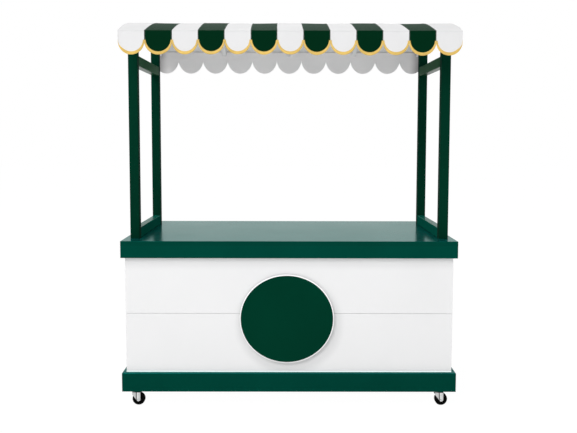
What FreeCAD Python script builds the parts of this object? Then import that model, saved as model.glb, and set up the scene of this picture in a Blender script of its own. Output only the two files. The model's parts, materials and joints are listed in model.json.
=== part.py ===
"""Bakery booth: a wheeled counter with four posts and a striped, scalloped canopy.

Millimetres, +Z up, -Y is the customers' side. The origin lies on the floor under the middle
of the worktop. The counter is a box of boards on four swivel casters. Its worktop carries
two side frames of square tube, and they carry an arched roof of sewn cloth on a light frame.
"""
import FreeCAD, Part
import math
import os
import re
import Sketcher

V = FreeCAD.Vector

# Driving sizes: alias, value, meaning
SIZES = (
    ("worktop_width", 1800, "worktop, left to right"),
    ("worktop_depth", 900, "worktop, front to back"),
    ("worktop_height", 916, "floor to the worktop's top face"),
    ("worktop_board", 25, "thickness of the worktop board"),
    ("worktop_round", 2, "rounding of the worktop's upper edges"),
    ("edge_height", 91, "height of the whole green edge, board included"),
    ("skirt_board", 20, "thickness of the edge boards and plinth boards"),
    ("plinth_height", 102, "height of the plinth boards"),
    ("plinth_clearance", 97.5, "floor to the plinth's underside"),
    ("panel_board", 18, "thickness of the white boards"),
    ("seam_height", 521, "floor to the seam between lower and upper boards"),
    ("seam_gap", 1.5, "width of that seam"),
    ("deck_clearance", 100, "floor to the deck's underside"),
    ("deck_board", 25, "thickness of the deck"),
    ("batten_size", 38, "square corner battens"),
    ("divider_board", 18, "thickness of the middle divider"),
    ("shelf_board", 18, "thickness of the shelves"),
    ("shelf_height", 500, "floor to the shelves' underside"),
    ("shelf_setback", 30, "rear edge of the shelves behind the carcass edge"),
    ("cleat_size", 20, "square cleats under the shelves"),
    ("stretcher_height", 70, "height of the rear stretcher"),
    ("sign_above", 57.5, "plinth's top to the bottom of the sign's rim"),
    ("sign_below", 91.5, "top of the sign's rim to the underside of the worktop's edge"),
    ("sign_wider", 25.5, "sign's width less its height"),
    ("sign_shift", 12, "sign's centre, left of the booth's centre"),
    ("sign_board", 8, "thickness of the sign board"),
    ("rim_width", 3, "width of the pale rim round the sign board"),
    ("sign_standoff", 12, "sign board's back to the front boards"),
    ("spacer_diameter", 24, "round spacers behind the sign"),
    ("post_size", 50, "square posts"),
    ("post_wall", 2.5, "wall of the posts"),
    ("tube_round", 3.5, "outer corner radius of posts, rails and eave tubes"),
    ("post_inset_side", 32, "worktop's end to a post's outer face"),
    ("post_inset_front", 104, "worktop's long edge to the nearest post face"),
    ("post_top", 2030, "floor to the posts' tops"),
    ("rail_height", 55, "side rails, top to bottom"),
    ("rail_width", 44, "side rails, inner to outer face"),
    ("rail_wall", 2, "wall of the side rails"),
    ("upper_rail", 1852, "floor to the upper side rails' underside"),
    ("plug_height", 60, "plugs that locate the posts' feet"),
    ("plug_clearance", 0.3, "gap round a plug or stub inside its post"),
    ("post_bolt", 12, "bolts that hold the plugs down, shank diameter"),
    ("nut_height", 10, "nut and bolt heads on those bolts"),
    ("bolt_clearance", 0.2, "gap round every bolt and screw"),
    ("canopy_side", 19, "roof cover beyond the posts, at the left and at the right"),
    ("canopy_front", 166, "roof with its valances beyond the posts, in front and behind"),
    ("eave_height", 2011, "floor to the fold over the eaves"),
    ("roof_rise", 104, "eave to crest"),
    ("cloth", 2, "thickness of the coated cloth with its hems"),
    ("binding", 1.2, "thickness of the edge binding"),
    ("binding_width", 13, "binding at the bottom of a scallop"),
    ("binding_tip", 4.5, "binding at the cusps"),
    ("binding_rise", 6, "binding's tips above the round of the scallop"),
    ("canopy_tube", 25, "square tube of the roof frame"),
    ("tube_wall", 2, "wall of that tube"),
    ("frame_gap", 0.3, "roof frame to the cloth that it carries"),
    ("eave_tube_end", 4, "eave tube's end inside the cover's side edge"),
    ("stub_length", 60, "stubs of the roof frame inside the posts"),
    ("front_drop", 116.5, "eave to the bottom of the front scallops"),
    ("rear_drop", 127, "eave to the bottom of the rear scallops"),
    ("front_scallops", 13, "scallops at the front, a count"),
    ("rear_scallops", 11, "scallops at the rear, a count"),
    ("wheel_diameter", 69, "caster wheels"),
    ("wheel_width", 24, "caster wheels, across the tread"),
    ("wheel_chamfer", 3, "shoulders of the tread"),
    ("tread_depth", 9, "solid ring under the tread"),
    ("web_width", 8, "web between ring and boss"),
    ("boss_diameter", 17, "boss round the axle"),
    ("boss_gap", 0.6, "boss to each fork leg"),
    ("web_hole", 6, "holes through the web"),
    ("web_holes", 5, "holes through the web, a count"),
    ("axle_diameter", 8, "axle bolts"),
    ("axle_clearance", 0.25, "gap round an axle or kingpin that something turns on"),
    ("axle_head", 5, "heads and nuts of the axle bolts"),
    ("caster_trail", 8.5, "swivel axis to wheel axis"),
    ("caster_inset_left", 66, "worktop's left end to the left swivel axes"),
    ("caster_inset_right", 73, "worktop's right end to the right swivel axes"),
    ("caster_inset_front", 70, "worktop's long edge to the nearest swivel axes"),
    ("fork_width", 50, "fork's crown, along the rolling direction"),
    ("fork_gap", 32, "between the fork's legs"),
    ("fork_sheet", 3, "sheet of the fork and the top plate"),
    ("fork_crown", 75, "floor to the underside of the fork's crown"),
    ("fork_shoulder", 60, "floor to where the legs start to narrow"),
    ("fork_end", 11, "radius of the legs' ends round the axle"),
    ("rib_width", 18, "pressed ribs on the legs, round the axle at their ends"),
    ("rib_height", 2, "pressed ribs, proud of the legs"),
    ("race_diameter", 42, "swivel race"),
    ("race_height", 9, "lower half of the swivel race"),
    ("race_gap", 0.5, "between the halves of the swivel race"),
    ("kingpin_head", 15, "kingpin's head"),
    ("kingpin_head_height", 2.4, "kingpin's head, top to bottom"),
    ("plate_length", 64, "caster top plate, left to right"),
    ("plate_width", 64, "caster top plate, front to back"),
    ("screw_diameter", 8, "caster screws"),
    ("screw_inset", 9, "caster screws from the plate's edges"),
    ("screw_length", 24, "caster screws, under the head"),
    ("screw_head", 5, "caster screws' heads"),
    ("overrun", 2, "cuts that pass right through go this much further"),
)
ARCH_SHARES = (-0.5, 0, 0.5)          # inner arches, shares of the outer arches' reach
SPACER_SHARE = 0.5                    # spacers behind the sign, share of its half width and height
HEAD_SHARE = 0.8                      # hexagon heads, half across the corners to shank diameter
LEFT_RIGHT = (("left", -1), ("right", 1))
FRONT_REAR = (("front", -1), ("rear", 1))
CORNERS = tuple((f"{fr}_{lr}", sx, sy) for fr, sy in FRONT_REAR for lr, sx in LEFT_RIGHT)

# Places that follow from the driving sizes
HALF_WIDTH = "(worktop_width / 2)"
HALF_DEPTH = "(worktop_depth / 2)"
CARCASS_X = "(worktop_width / 2 - skirt_board)"
CARCASS_Y = "(worktop_depth / 2 - skirt_board)"
INNER_X = f"({CARCASS_X} - panel_board)"
INNER_Y = f"({CARCASS_Y} - panel_board)"
BOARD_UNDER = "(worktop_height - worktop_board)"
EDGE_UNDER = "(worktop_height - edge_height)"
DECK_TOP = "(deck_clearance + deck_board)"
PLINTH_TOP = "(plinth_clearance + plinth_height)"
POST_X = "(worktop_width / 2 - post_inset_side - post_size / 2)"
POST_Y = "(worktop_depth / 2 - post_inset_front - post_size / 2)"
POST_IN_Y = f"({POST_Y} - post_size / 2)"
RAIL_IN_X = f"({POST_X} - post_size / 2)"
PLUG = "(post_size - 2 * post_wall - 2 * plug_clearance)"
SIGN_Y = f"({CARCASS_Y} + sign_standoff)"
SIGN_TALL = f"({EDGE_UNDER} - sign_below - {PLINTH_TOP} - sign_above)"
SIGN_WIDTH = f"({SIGN_TALL} + sign_wider)"
SIGN_CENTRE = f"({PLINTH_TOP} + sign_above + {SIGN_TALL} / 2)"
CANOPY_WIDTH = "(worktop_width - 2 * post_inset_side + 2 * canopy_side)"
CANOPY_DEPTH = "(worktop_depth - 2 * post_inset_front + 2 * canopy_front)"
ROOF_RADIUS = f"((roof_rise ^ 2 + ({CANOPY_DEPTH} / 2) ^ 2) / (2 * roof_rise))"
ROOF_CENTRE = f"(eave_height + roof_rise - {ROOF_RADIUS})"
FRONT_FACE = f"({CANOPY_DEPTH} / 2 - binding)"
EAVE_OUT = f"({FRONT_FACE} - cloth - frame_gap)"
EAVE_IN = f"({EAVE_OUT} - canopy_tube)"
ARCH_RADIUS = f"({ROOF_RADIUS} - cloth - frame_gap)"
FRONT_PITCH = f"({CANOPY_WIDTH} / front_scallops)"
REAR_PITCH = f"({CANOPY_WIDTH} / rear_scallops)"
WHEEL_RADIUS = "(wheel_diameter / 2)"
CROWN_TOP = "(fork_crown + fork_sheet)"
RACE_TOP = f"({CROWN_TOP} + race_height)"
PLATE_UNDER = "(deck_clearance - fork_sheet)"
FORK_OUTER = "(fork_gap + 2 * fork_sheet)"
RIBS_OUTER = f"({FORK_OUTER} + 2 * rib_height)"

doc = FreeCAD.newDocument("bakery_booth")
sheet = doc.addObject("Spreadsheet::Sheet", "Sizes")
for row, (alias, number, meaning) in enumerate(SIZES, start=1):
    sheet.set(f"A{row}", meaning)
    sheet.set(f"B{row}", str(number))
    sheet.setAlias(f"B{row}", alias)
doc.recompute()
ALIASES = {alias for alias, _, _ in SIZES}
pieces = []


def cells(expression):
    """The expression with every alias written as a cell of the sheet."""
    return re.sub(r"\b[a-z][a-z_]*\b",
                  lambda word: f"Sizes.{word[0]}" if word[0] in ALIASES else word[0],
                  str(expression))


def amount(expression):
    """The value of an expression, for placing a sketch's geometry near its final place."""
    return float(sheet.evalExpression(cells(expression)))


def bind(item, **expressions):
    """Binds properties to expressions of the sheet's cells."""
    for name, expression in expressions.items():
        item.setExpression(name, cells(expression))
    return item


def place(item, x, y, z):
    """Binds where an object stands."""
    for axis, expression in zip("xyz", (x, y, z)):
        item.setExpression(f"Placement.Base.{axis}", cells(expression))
    return item


def piece(item, label):
    """Marks an object as a sub-part with a name of its own."""
    item.Label = label
    pieces.append(item)
    return item


def box(corner, size):
    """A board or block from its lowest corner and its three sizes."""
    block = doc.addObject("Part::Box", "block")
    bind(block, Length=size[0], Width=size[1], Height=size[2])
    return place(block, *corner)


def span(low, high):
    """The distance between two places."""
    return f"({high} - ({low}))"


def block(low, high):
    """A board or block between two opposite corners."""
    return box(low, [span(a, b) for a, b in zip(low, high)])


def cylinder(radius, height, x, y, z):
    """An upright cylinder that stands at a point."""
    rod = doc.addObject("Part::Cylinder", "rod")
    bind(rod, Radius=radius, Height=height)
    return place(rod, x, y, z)


def hexagon(circumradius, height, x, y, z):
    """An upright hexagonal head or nut."""
    head = doc.addObject("Part::Prism", "hexagon")
    head.Polygon = 6
    bind(head, Circumradius=circumradius, Height=height)
    return place(head, x, y, z)


def turned(item, axis, degrees):
    """Turns an object about its own base point."""
    item.Placement = FreeCAD.Placement(item.Placement.Base, FreeCAD.Rotation(axis, degrees))
    return item


def cut(base, tool):
    """The base without the tool."""
    result = doc.addObject("Part::Cut", "cut")
    result.Base = base
    result.Tool = tool
    return result


def fuse(*shapes):
    """One solid of several that run into each other."""
    result = doc.addObject("Part::MultiFuse", "fused")
    result.Shapes = list(shapes)
    return result


def group(items):
    """Separate solids that share one node."""
    result = doc.addObject("Part::Compound", "group")
    result.Links = list(items)
    return result


def outline(sketch, corners):
    """Draws one closed outline of corners (x, y) or (x, y, (centre x, centre y, turn)).

    The side that starts at a corner with a third entry is an arc about that centre, and it
    turns left for turn 1 and right for turn -1. Each corner is held at its place.
    """
    spots = [V(amount(corner[0]), amount(corner[1]), 0) for corner in corners]
    sides = []
    for index, corner in enumerate(corners):
        start = spots[index]
        end = spots[(index + 1) % len(spots)]
        if len(corner) == 2:
            side = Part.LineSegment(start, end)
            sides.append((sketch.addGeometry(side, False), 1, 2, None))
            continue
        centre_x, centre_y, turn = corner[2]
        centre = V(amount(centre_x), amount(centre_y), 0)
        first, last = (start, end) if turn > 0 else (end, start)
        angles = [math.atan2(spot.y - centre.y, spot.x - centre.x) for spot in (first, last)]
        circle = Part.Circle(centre, V(0, 0, 1), (start - centre).Length)
        side = Part.ArcOfCircle(circle, *angles)
        ends = (1, 2) if turn > 0 else (2, 1)
        chord = end - start
        held = ("DistanceY", centre_y) if abs(chord.x) > abs(chord.y) else ("DistanceX", centre_x)
        sides.append((sketch.addGeometry(side, False), *ends, held))
    for index, (side, first_end, last_end, held) in enumerate(sides):
        following = sides[(index + 1) % len(sides)]
        sketch.addConstraint(
            Sketcher.Constraint("Coincident", side, last_end, following[0], following[1]))
        hold(sketch, "DistanceX", side, first_end, corners[index][0])
        hold(sketch, "DistanceY", side, first_end, corners[index][1])
        if held:
            hold(sketch, held[0], side, 3, held[1])


def hold(sketch, kind, side, end, expression):
    """Holds one point of a side at a bound distance from the sketch's origin."""
    number = sketch.addConstraint(
        Sketcher.Constraint(kind, -1, 1, side, end, amount(expression)))
    sketch.setExpression(f"Constraints[{number}]", cells(expression))


def circle(sketch, x, y, radius):
    """Draws a circle that is held at its place and size."""
    side = sketch.addGeometry(
        Part.Circle(V(amount(x), amount(y), 0), V(0, 0, 1), amount(radius)), False)
    hold(sketch, "DistanceX", side, 3, x)
    hold(sketch, "DistanceY", side, 3, y)
    number = sketch.addConstraint(Sketcher.Constraint("Radius", side, amount(radius)))
    sketch.setExpression(f"Constraints[{number}]", cells(radius))


def origin_part(body, role):
    """One of a body's own origin planes or axes."""
    return next(item for item in body.Origin.OriginFeatures if item.Role == role)


def sketch_on(body, plane, outlines=(), circles=()):
    """A sketch on one of the body's own origin planes."""
    sketch = body.newObject("Sketcher::SketchObject", "profile")
    sketch.AttachmentSupport = [(origin_part(body, plane), "")]
    sketch.MapMode = "FlatFace"
    for corners in outlines:
        outline(sketch, corners)
    for spec in circles:
        circle(sketch, *spec)
    return sketch


def add(body, kind, sketch, length, both_ways=False, backwards=False):
    """A Pad or a Pocket of a sketch."""
    feature = body.newObject(f"PartDesign::{kind}", kind.lower())
    feature.Profile = sketch
    bind(feature, Length=length)
    feature.SideType = "Symmetric" if both_ways else "One side"
    feature.Reversed = backwards
    return feature


def spin(body, kind, sketch, axis):
    """A full Revolution of a sketch about one of the body's axes."""
    feature = body.newObject(f"PartDesign::{kind}", kind.lower())
    feature.Profile = sketch
    feature.ReferenceAxis = (origin_part(body, axis), [""])
    return feature


def repeat_along(body, feature, count, length):
    """Copies a feature along X: the whole run is the given length."""
    pattern = body.newObject("PartDesign::LinearPattern", "row")
    pattern.Originals = [feature]
    pattern.Direction = (origin_part(body, "X_Axis"), [""])
    bind(pattern, Length=length, Occurrences=count)
    body.Tip = pattern
    return pattern


def rectangle(x_low, y_low, x_high, y_high):
    """The corners of an upright rectangle."""
    return [(x_low, y_low), (x_high, y_low), (x_high, y_high), (x_low, y_high)]


def rounded(width, height, radius):
    """The outline of a rectangle about the origin with round corners."""
    x, y = f"({width} / 2)", f"({height} / 2)"
    across, up = f"({x} - {radius})", f"({y} - {radius})"
    return [(f"-{across}", f"-{y}"), (across, f"-{y}", (across, f"-{up}", 1)),
            (x, f"-{up}"), (x, up, (across, up, 1)),
            (across, y), (f"-{across}", y, (f"-{across}", up, 1)),
            (f"-{x}", up), (f"-{x}", f"-{up}", (f"-{across}", f"-{up}", 1))]


def tube(label, plane, width, height, wall, length, both_ways=True):
    """A rectangular tube about the origin, open at both ends and square to a plane."""
    body = doc.addObject("PartDesign::Body", label)
    x, y = f"({width} / 2 - {wall})", f"({height} / 2 - {wall})"
    profile = sketch_on(body, plane, [rounded(width, height, "tube_round"),
                                      rectangle(f"-{x}", f"-{y}", x, y)])
    add(body, "Pad", profile, length, both_ways=both_ways)
    return body


def side_of(sign, expression):
    """The expression on the left or front (-1) or on the right or rear (1)."""
    return f"({sign} * {expression})"


# Counter
def worktop():
    """Top board with rounded upper edges and a bolt hole under each post."""
    body = doc.addObject("PartDesign::Body", "worktop")
    plan = rectangle(f"-{HALF_WIDTH}", f"-{HALF_DEPTH}", HALF_WIDTH, HALF_DEPTH)
    slab = add(body, "Pad", sketch_on(body, "XY_Plane", [plan]), "worktop_board")
    doc.recompute()
    rounding = body.newObject("PartDesign::Fillet", "rounding")
    top = slab.Shape.BoundBox.ZMax
    names = [f"Edge{number}" for number, edge in enumerate(slab.Shape.Edges, start=1)
             if min(vertex.Z for vertex in edge.Vertexes) > top - edge.Tolerance]
    rounding.Base = (slab, names)
    bind(rounding, Radius="worktop_round")
    holes = [(side_of(sx, POST_X), side_of(sy, POST_Y), "(post_bolt / 2 + bolt_clearance)")
             for _, sx, sy in CORNERS]
    add(body, "Pocket", sketch_on(body, "XY_Plane", circles=holes), "worktop_board",
        backwards=True)
    place(body, 0, 0, BOARD_UNDER)
    return piece(body, "worktop")


def skirts():
    """Green boards round the worktop's edge and round the plinth."""
    levels = (("edge", EDGE_UNDER, BOARD_UNDER), ("plinth", "plinth_clearance", PLINTH_TOP))
    for name, low, high in levels:
        for side, sign in FRONT_REAR:
            inner, outer = (CARCASS_Y, HALF_DEPTH) if sign > 0 else (f"-{HALF_DEPTH}",
                                                                     f"-{CARCASS_Y}")
            piece(block((f"-{HALF_WIDTH}", inner, low), (HALF_WIDTH, outer, high)),
                  f"{name}_{side}")
        for side, sign in LEFT_RIGHT:
            inner, outer = (CARCASS_X, HALF_WIDTH) if sign > 0 else (f"-{HALF_WIDTH}",
                                                                     f"-{CARCASS_X}")
            piece(block((inner, f"-{CARCASS_Y}", low), (outer, CARCASS_Y, high)),
                  f"{name}_{side}")


def panels():
    """White boards of the front and the ends: a lower and an upper one with a seam between."""
    levels = (("lower", "deck_clearance", "(seam_height - seam_gap / 2)"),
              ("upper", "(seam_height + seam_gap / 2)", BOARD_UNDER))
    for name, low, high in levels:
        piece(block((f"-{CARCASS_X}", f"-{CARCASS_Y}", low), (CARCASS_X, f"-{INNER_Y}", high)),
              f"front_board_{name}")
        for side, sign in LEFT_RIGHT:
            inner, outer = (INNER_X, CARCASS_X) if sign > 0 else (f"-{CARCASS_X}", f"-{INNER_X}")
            piece(block((inner, f"-{INNER_Y}", low), (outer, CARCASS_Y, high)),
                  f"{side}_board_{name}")


def caster_places():
    """Tag and swivel axis of each caster."""
    insets = {-1: "caster_inset_left", 1: "caster_inset_right"}
    for tag, sx, sy in CORNERS:
        x = side_of(sx, f"(worktop_width / 2 - {insets[sx]})")
        y = side_of(sy, "(worktop_depth / 2 - caster_inset_front)")
        yield tag, x, y


def screw_places():
    """Centres of the four screws of every caster plate."""
    for _, x, y in caster_places():
        for sx in (-1, 1):
            for sy in (-1, 1):
                yield (f"({x} + {sx} * (plate_length / 2 - screw_inset))",
                       f"({y} + {sy} * (plate_width / 2 - screw_inset))")


def carcass():
    """What the boards are fixed to, inside the counter and open at the back."""
    deck = block((f"-{INNER_X}", f"-{INNER_Y}", "deck_clearance"),
                 (INNER_X, CARCASS_Y, DECK_TOP))
    bores = [cylinder("(screw_diameter / 2 + bolt_clearance)", "screw_length",
                      x, y, "deck_clearance")
             for x, y in screw_places()]
    piece(cut(deck, fuse(*bores)), "base_deck")
    half = "(divider_board / 2)"
    piece(block((f"-{half}", f"-{INNER_Y}", DECK_TOP),
                (half, f"({CARCASS_Y} - panel_board)", BOARD_UNDER)), "divider")
    piece(block((f"-{INNER_X}", f"({CARCASS_Y} - panel_board)",
                 f"({BOARD_UNDER} - stretcher_height)"),
                (INNER_X, CARCASS_Y, BOARD_UNDER)), "rear_stretcher")
    battens = []
    for _, sx, sy in CORNERS:
        x = INNER_X if sx > 0 else f"-{INNER_X}"
        y = INNER_Y if sy > 0 else f"-{INNER_Y}"
        x_low = f"({x} - batten_size)" if sx > 0 else x
        y_low = f"({y} - batten_size)" if sy > 0 else y
        battens.append(box((x_low, y_low, DECK_TOP),
                           ("batten_size", "batten_size", span(DECK_TOP, BOARD_UNDER))))
    piece(group(battens), "corner_battens")


def shelves():
    """A shelf each side of the divider, notched round the battens, on cleats."""
    cleats = []
    rear = f"({CARCASS_Y} - panel_board - shelf_setback)"
    for side, sign in LEFT_RIGHT:
        near = "(divider_board / 2)"
        low, high = (near, INNER_X) if sign > 0 else (f"-{INNER_X}", f"-{near}")
        board = block((low, f"-{INNER_Y}", "shelf_height"),
                      (high, rear, "(shelf_height + shelf_board)"))
        outer = f"({INNER_X} - batten_size)" if sign > 0 else f"(-{INNER_X} - overrun)"
        notches = [box((outer, y, "(shelf_height - overrun)"),
                       ("(batten_size + overrun)", "(batten_size + overrun)",
                        "(shelf_board + 2 * overrun)"))
                   for y in (f"(-{INNER_Y} - overrun)", f"({INNER_Y} - batten_size)")]
        piece(cut(cut(board, notches[0]), notches[1]), f"shelf_{side}")
        for x in (low, f"({high} - cleat_size)"):
            cleats.append(block((x, f"(-{INNER_Y} + batten_size)",
                                 "(shelf_height - cleat_size)"),
                                (f"({x} + cleat_size)", f"({INNER_Y} - batten_size)",
                                 "shelf_height")))
    piece(group(cleats), "shelf_cleats")


def ellipse_plate(trim, thickness, y):
    """An upright elliptical plate whose edge lies a trim inside the sign's own edge."""
    edge = doc.addObject("Part::Ellipse", "oval")
    bind(edge, MajorRadius=f"({SIGN_WIDTH} / 2 - {trim})", MinorRadius=f"({SIGN_TALL} / 2 - {trim})")
    turned(edge, V(1, 0, 0), 90)
    place(edge, "(-sign_shift)", y, SIGN_CENTRE)
    plate = doc.addObject("Part::Extrusion", "plate")
    plate.Base = edge
    plate.DirMode = "Custom"
    plate.Dir = V(0, -1, 0)
    plate.Solid = True
    bind(plate, LengthFwd=thickness)
    return plate


def sign():
    """Bare sign board in a pale rim, held off the front boards by round spacers."""
    back = f"(-{SIGN_Y})"
    piece(ellipse_plate("rim_width", "sign_board", back), "sign_board")
    ring = cut(ellipse_plate("0", "sign_board", back),
               ellipse_plate("rim_width", "(sign_board + overrun)", f"({back} + overrun / 2)"))
    piece(ring, "sign_rim")
    spacers = []
    for sx in (-1, 1):
        for sz in (-1, 1):
            spacer = cylinder("(spacer_diameter / 2)", "sign_standoff",
                              f"({sx * SPACER_SHARE} * {SIGN_WIDTH} / 2 - sign_shift)",
                              f"(-{CARCASS_Y})",
                              f"({SIGN_CENTRE} + {sz * SPACER_SHARE} * {SIGN_TALL} / 2)")
            spacers.append(turned(spacer, V(1, 0, 0), 90))
    piece(group(spacers), "sign_spacers")


# Side frames
def posts():
    """Four hollow posts, the plugs in their feet and the bolts that hold the plugs down."""
    plugs = []
    bolts = []
    for tag, sx, sy in CORNERS:
        x = side_of(sx, POST_X)
        y = side_of(sy, POST_Y)
        post = tube(f"post_{tag}", "XY_Plane", "post_size", "post_size", "post_wall",
                    span("worktop_height", "post_top"), both_ways=False)
        piece(place(post, x, y, "worktop_height"), f"post_{tag}")
        plug = box((f"({x} - {PLUG} / 2)", f"({y} - {PLUG} / 2)", "worktop_height"),
                   (PLUG, PLUG, "plug_height"))
        bore = cylinder("(post_bolt / 2 + bolt_clearance)", "(plug_height + 2 * overrun)",
                        x, y, "(worktop_height - overrun)")
        plugs.append(cut(plug, bore))
        plug_top = "(worktop_height + plug_height)"
        shank = cylinder("(post_bolt / 2)", f"({plug_top} - {BOARD_UNDER} + 2 * nut_height)",
                         x, y, f"({BOARD_UNDER} - 2 * nut_height)")
        head = hexagon("post_bolt", "nut_height", x, y, plug_top)
        nut = cut(hexagon("post_bolt", "nut_height", x, y, f"({BOARD_UNDER} - nut_height)"),
                  cylinder("(post_bolt / 2 + bolt_clearance)", "(nut_height + 2 * overrun)",
                           x, y, f"({BOARD_UNDER} - nut_height - overrun)"))
        bolts += [fuse(shank, head), nut]
    piece(group(plugs), "post_plugs")
    piece(group(bolts), "post_bolts")


def rails():
    """Lower and upper rails between the front and rear posts, flush with their inner faces."""
    for level, low in (("lower", "worktop_height"), ("upper", "upper_rail")):
        for side, sign in LEFT_RIGHT:
            label = f"{level}_rail_{side}"
            rail = tube(label, "XZ_Plane", "rail_width", "rail_height", "rail_wall",
                        f"(2 * {POST_IN_Y})")
            x = side_of(sign, f"({RAIL_IN_X} + rail_width / 2)")
            piece(place(rail, x, 0, f"({low} + rail_height / 2)"), label)


# Canopy
def roof_point(radius, y):
    """Height of the roof's arc of the given radius at a distance behind the middle."""
    return f"({ROOF_CENTRE} + sqrt({radius} ^ 2 - {y} ^ 2))"


def arc_band(outer, thickness, front, rear):
    """Outline of a curved band between two radii and two upright ends."""
    inner = f"({outer} - {thickness})"
    centre = ("0", ROOF_CENTRE)
    return [(f"(-{front})", roof_point(inner, front)),
            (f"(-{front})", roof_point(outer, front), (*centre, -1)),
            (rear, roof_point(outer, rear)),
            (rear, roof_point(inner, rear), (*centre, 1))]


def arch(label, x, with_stubs):
    """A bent square tube, with stubs up to its middle line where it stands on the posts."""
    body = doc.addObject("PartDesign::Body", label)
    ribbon = arc_band(ARCH_RADIUS, "canopy_tube", EAVE_IN, EAVE_IN)
    add(body, "Pad", sketch_on(body, "YZ_Plane", [ribbon]), "canopy_tube", both_ways=True)
    if with_stubs:
        low = "(post_top - stub_length)"
        high = roof_point(f"({ARCH_RADIUS} - canopy_tube / 2)", POST_Y)
        stubs = [rectangle(f"({sy} * {POST_Y} - {PLUG} / 2)", low,
                           f"({sy} * {POST_Y} + {PLUG} / 2)", high) for sy in (-1, 1)]
        add(body, "Pad", sketch_on(body, "YZ_Plane", stubs), PLUG, both_ways=True)
        hollow = f"({PLUG} - 2 * tube_wall)"
        bores = [rectangle(f"({sy} * {POST_Y} - {hollow} / 2)", "(post_top - stub_length - overrun)",
                           f"({sy} * {POST_Y} + {hollow} / 2)", "post_top") for sy in (-1, 1)]
        add(body, "Pocket", sketch_on(body, "YZ_Plane", bores), hollow, both_ways=True)
    cavity = arc_band(f"({ARCH_RADIUS} - tube_wall)", "(canopy_tube - 2 * tube_wall)",
                      f"({EAVE_IN} + overrun)", f"({EAVE_IN} + overrun)")
    add(body, "Pocket", sketch_on(body, "YZ_Plane", [cavity]),
        "(canopy_tube - 2 * tube_wall)", both_ways=True)
    return place(body, x, 0, 0)


def roof_frame():
    """Eave tubes and arches under the cloth."""
    reach = f"({CANOPY_WIDTH} / 2 - eave_tube_end)"
    top = "(eave_height - cloth - frame_gap)"
    for side, sign in FRONT_REAR:
        label = f"eave_tube_{side}"
        bar = tube(label, "YZ_Plane", "canopy_tube", "canopy_tube", "tube_wall", f"(2 * {reach})")
        y = side_of(sign, f"({EAVE_OUT} - canopy_tube / 2)")
        piece(place(bar, 0, y, f"({top} - canopy_tube / 2)"), label)
    for side, sign in LEFT_RIGHT:
        piece(arch(f"arch_{side}", side_of(sign, POST_X), True), f"arch_{side}")
    piece(group([arch("inner_arch", side_of(share, POST_X), False) for share in ARCH_SHARES]),
          "arches_inner")


def roof_cover():
    """One sewn sheet of striped cloth from eave to eave."""
    body = doc.addObject("PartDesign::Body", "roof_cover")
    ribbon = arc_band(ROOF_RADIUS, "cloth", f"({FRONT_FACE} - cloth)",
                      f"({CANOPY_DEPTH} / 2 - cloth)")
    add(body, "Pad", sketch_on(body, "YZ_Plane", [ribbon]), CANOPY_WIDTH, both_ways=True)
    return piece(body, "roof_cover")


def scallops(label, first, count, step, pitch, drop, plane_y):
    """A row of hanging tabs that end in half rounds, spread a step apart along X."""
    body = doc.addObject("PartDesign::Body", label)
    level = f"(eave_height - {drop} + {pitch} / 2)"
    left = f"({first} - {pitch} / 2)"
    right = f"({first} + {pitch} / 2)"
    tab = [(left, "eave_height"), (left, level, (first, level, 1)), (right, level),
           (right, "eave_height")]
    feature = add(body, "Pad", sketch_on(body, "XZ_Plane", [tab]), "cloth")
    repeat_along(body, feature, count, f"(({count} - 1) * {step})")
    place(body, 0, plane_y, 0)
    return piece(body, label)


def binding():
    """Crescents of binding on the front scallops, wide below and narrow at the cusps."""
    body = doc.addObject("PartDesign::Body", "valance_binding")
    radius = f"({FRONT_PITCH} / 2)"
    level = f"(eave_height - front_drop + {radius})"
    middle = f"(-{CANOPY_WIDTH} / 2 + {radius})"
    half_in = f"({radius} - binding_tip)"
    low_in = f"({radius} - binding_width)"
    offset = f"(({half_in} ^ 2 - {low_in} ^ 2) / (2 * {low_in}))"
    inner = f"({low_in} + {offset})"
    tip_level = f"({level} + binding_rise)"
    tip_in = f"sqrt({inner} ^ 2 - (binding_rise - {offset}) ^ 2)"
    crescent = [(f"({middle} - {radius})", level, (middle, level, 1)),
                (f"({middle} + {radius})", level),
                (f"({middle} + {radius})", tip_level),
                (f"({middle} + {tip_in})", tip_level, (middle, f"({level} + {offset})", -1)),
                (f"({middle} - {tip_in})", tip_level),
                (f"({middle} - {radius})", tip_level)]
    feature = add(body, "Pad", sketch_on(body, "XZ_Plane", [crescent]), "binding")
    repeat_along(body, feature, "front_scallops", f"((front_scallops - 1) * {FRONT_PITCH})")
    place(body, 0, f"(-{FRONT_FACE})", 0)
    return piece(body, "valance_binding")


def valances():
    """White and green tabs in turn at the front, plain ones at the rear."""
    front_y = f"(cloth - {FRONT_FACE})"
    end = f"(-{CANOPY_WIDTH} / 2 + {FRONT_PITCH} / 2)"
    scallops("valance_white", end, "((front_scallops + 1) / 2)", f"(2 * {FRONT_PITCH})",
             FRONT_PITCH, "front_drop", front_y)
    scallops("valance_green", f"({end} + {FRONT_PITCH})", "((front_scallops - 1) / 2)",
             f"(2 * {FRONT_PITCH})", FRONT_PITCH, "front_drop", front_y)
    binding()
    scallops("valance_rear", f"(-{CANOPY_WIDTH} / 2 + {REAR_PITCH} / 2)", "rear_scallops",
             REAR_PITCH, REAR_PITCH, "rear_drop", f"({CANOPY_DEPTH} / 2)")


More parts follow.
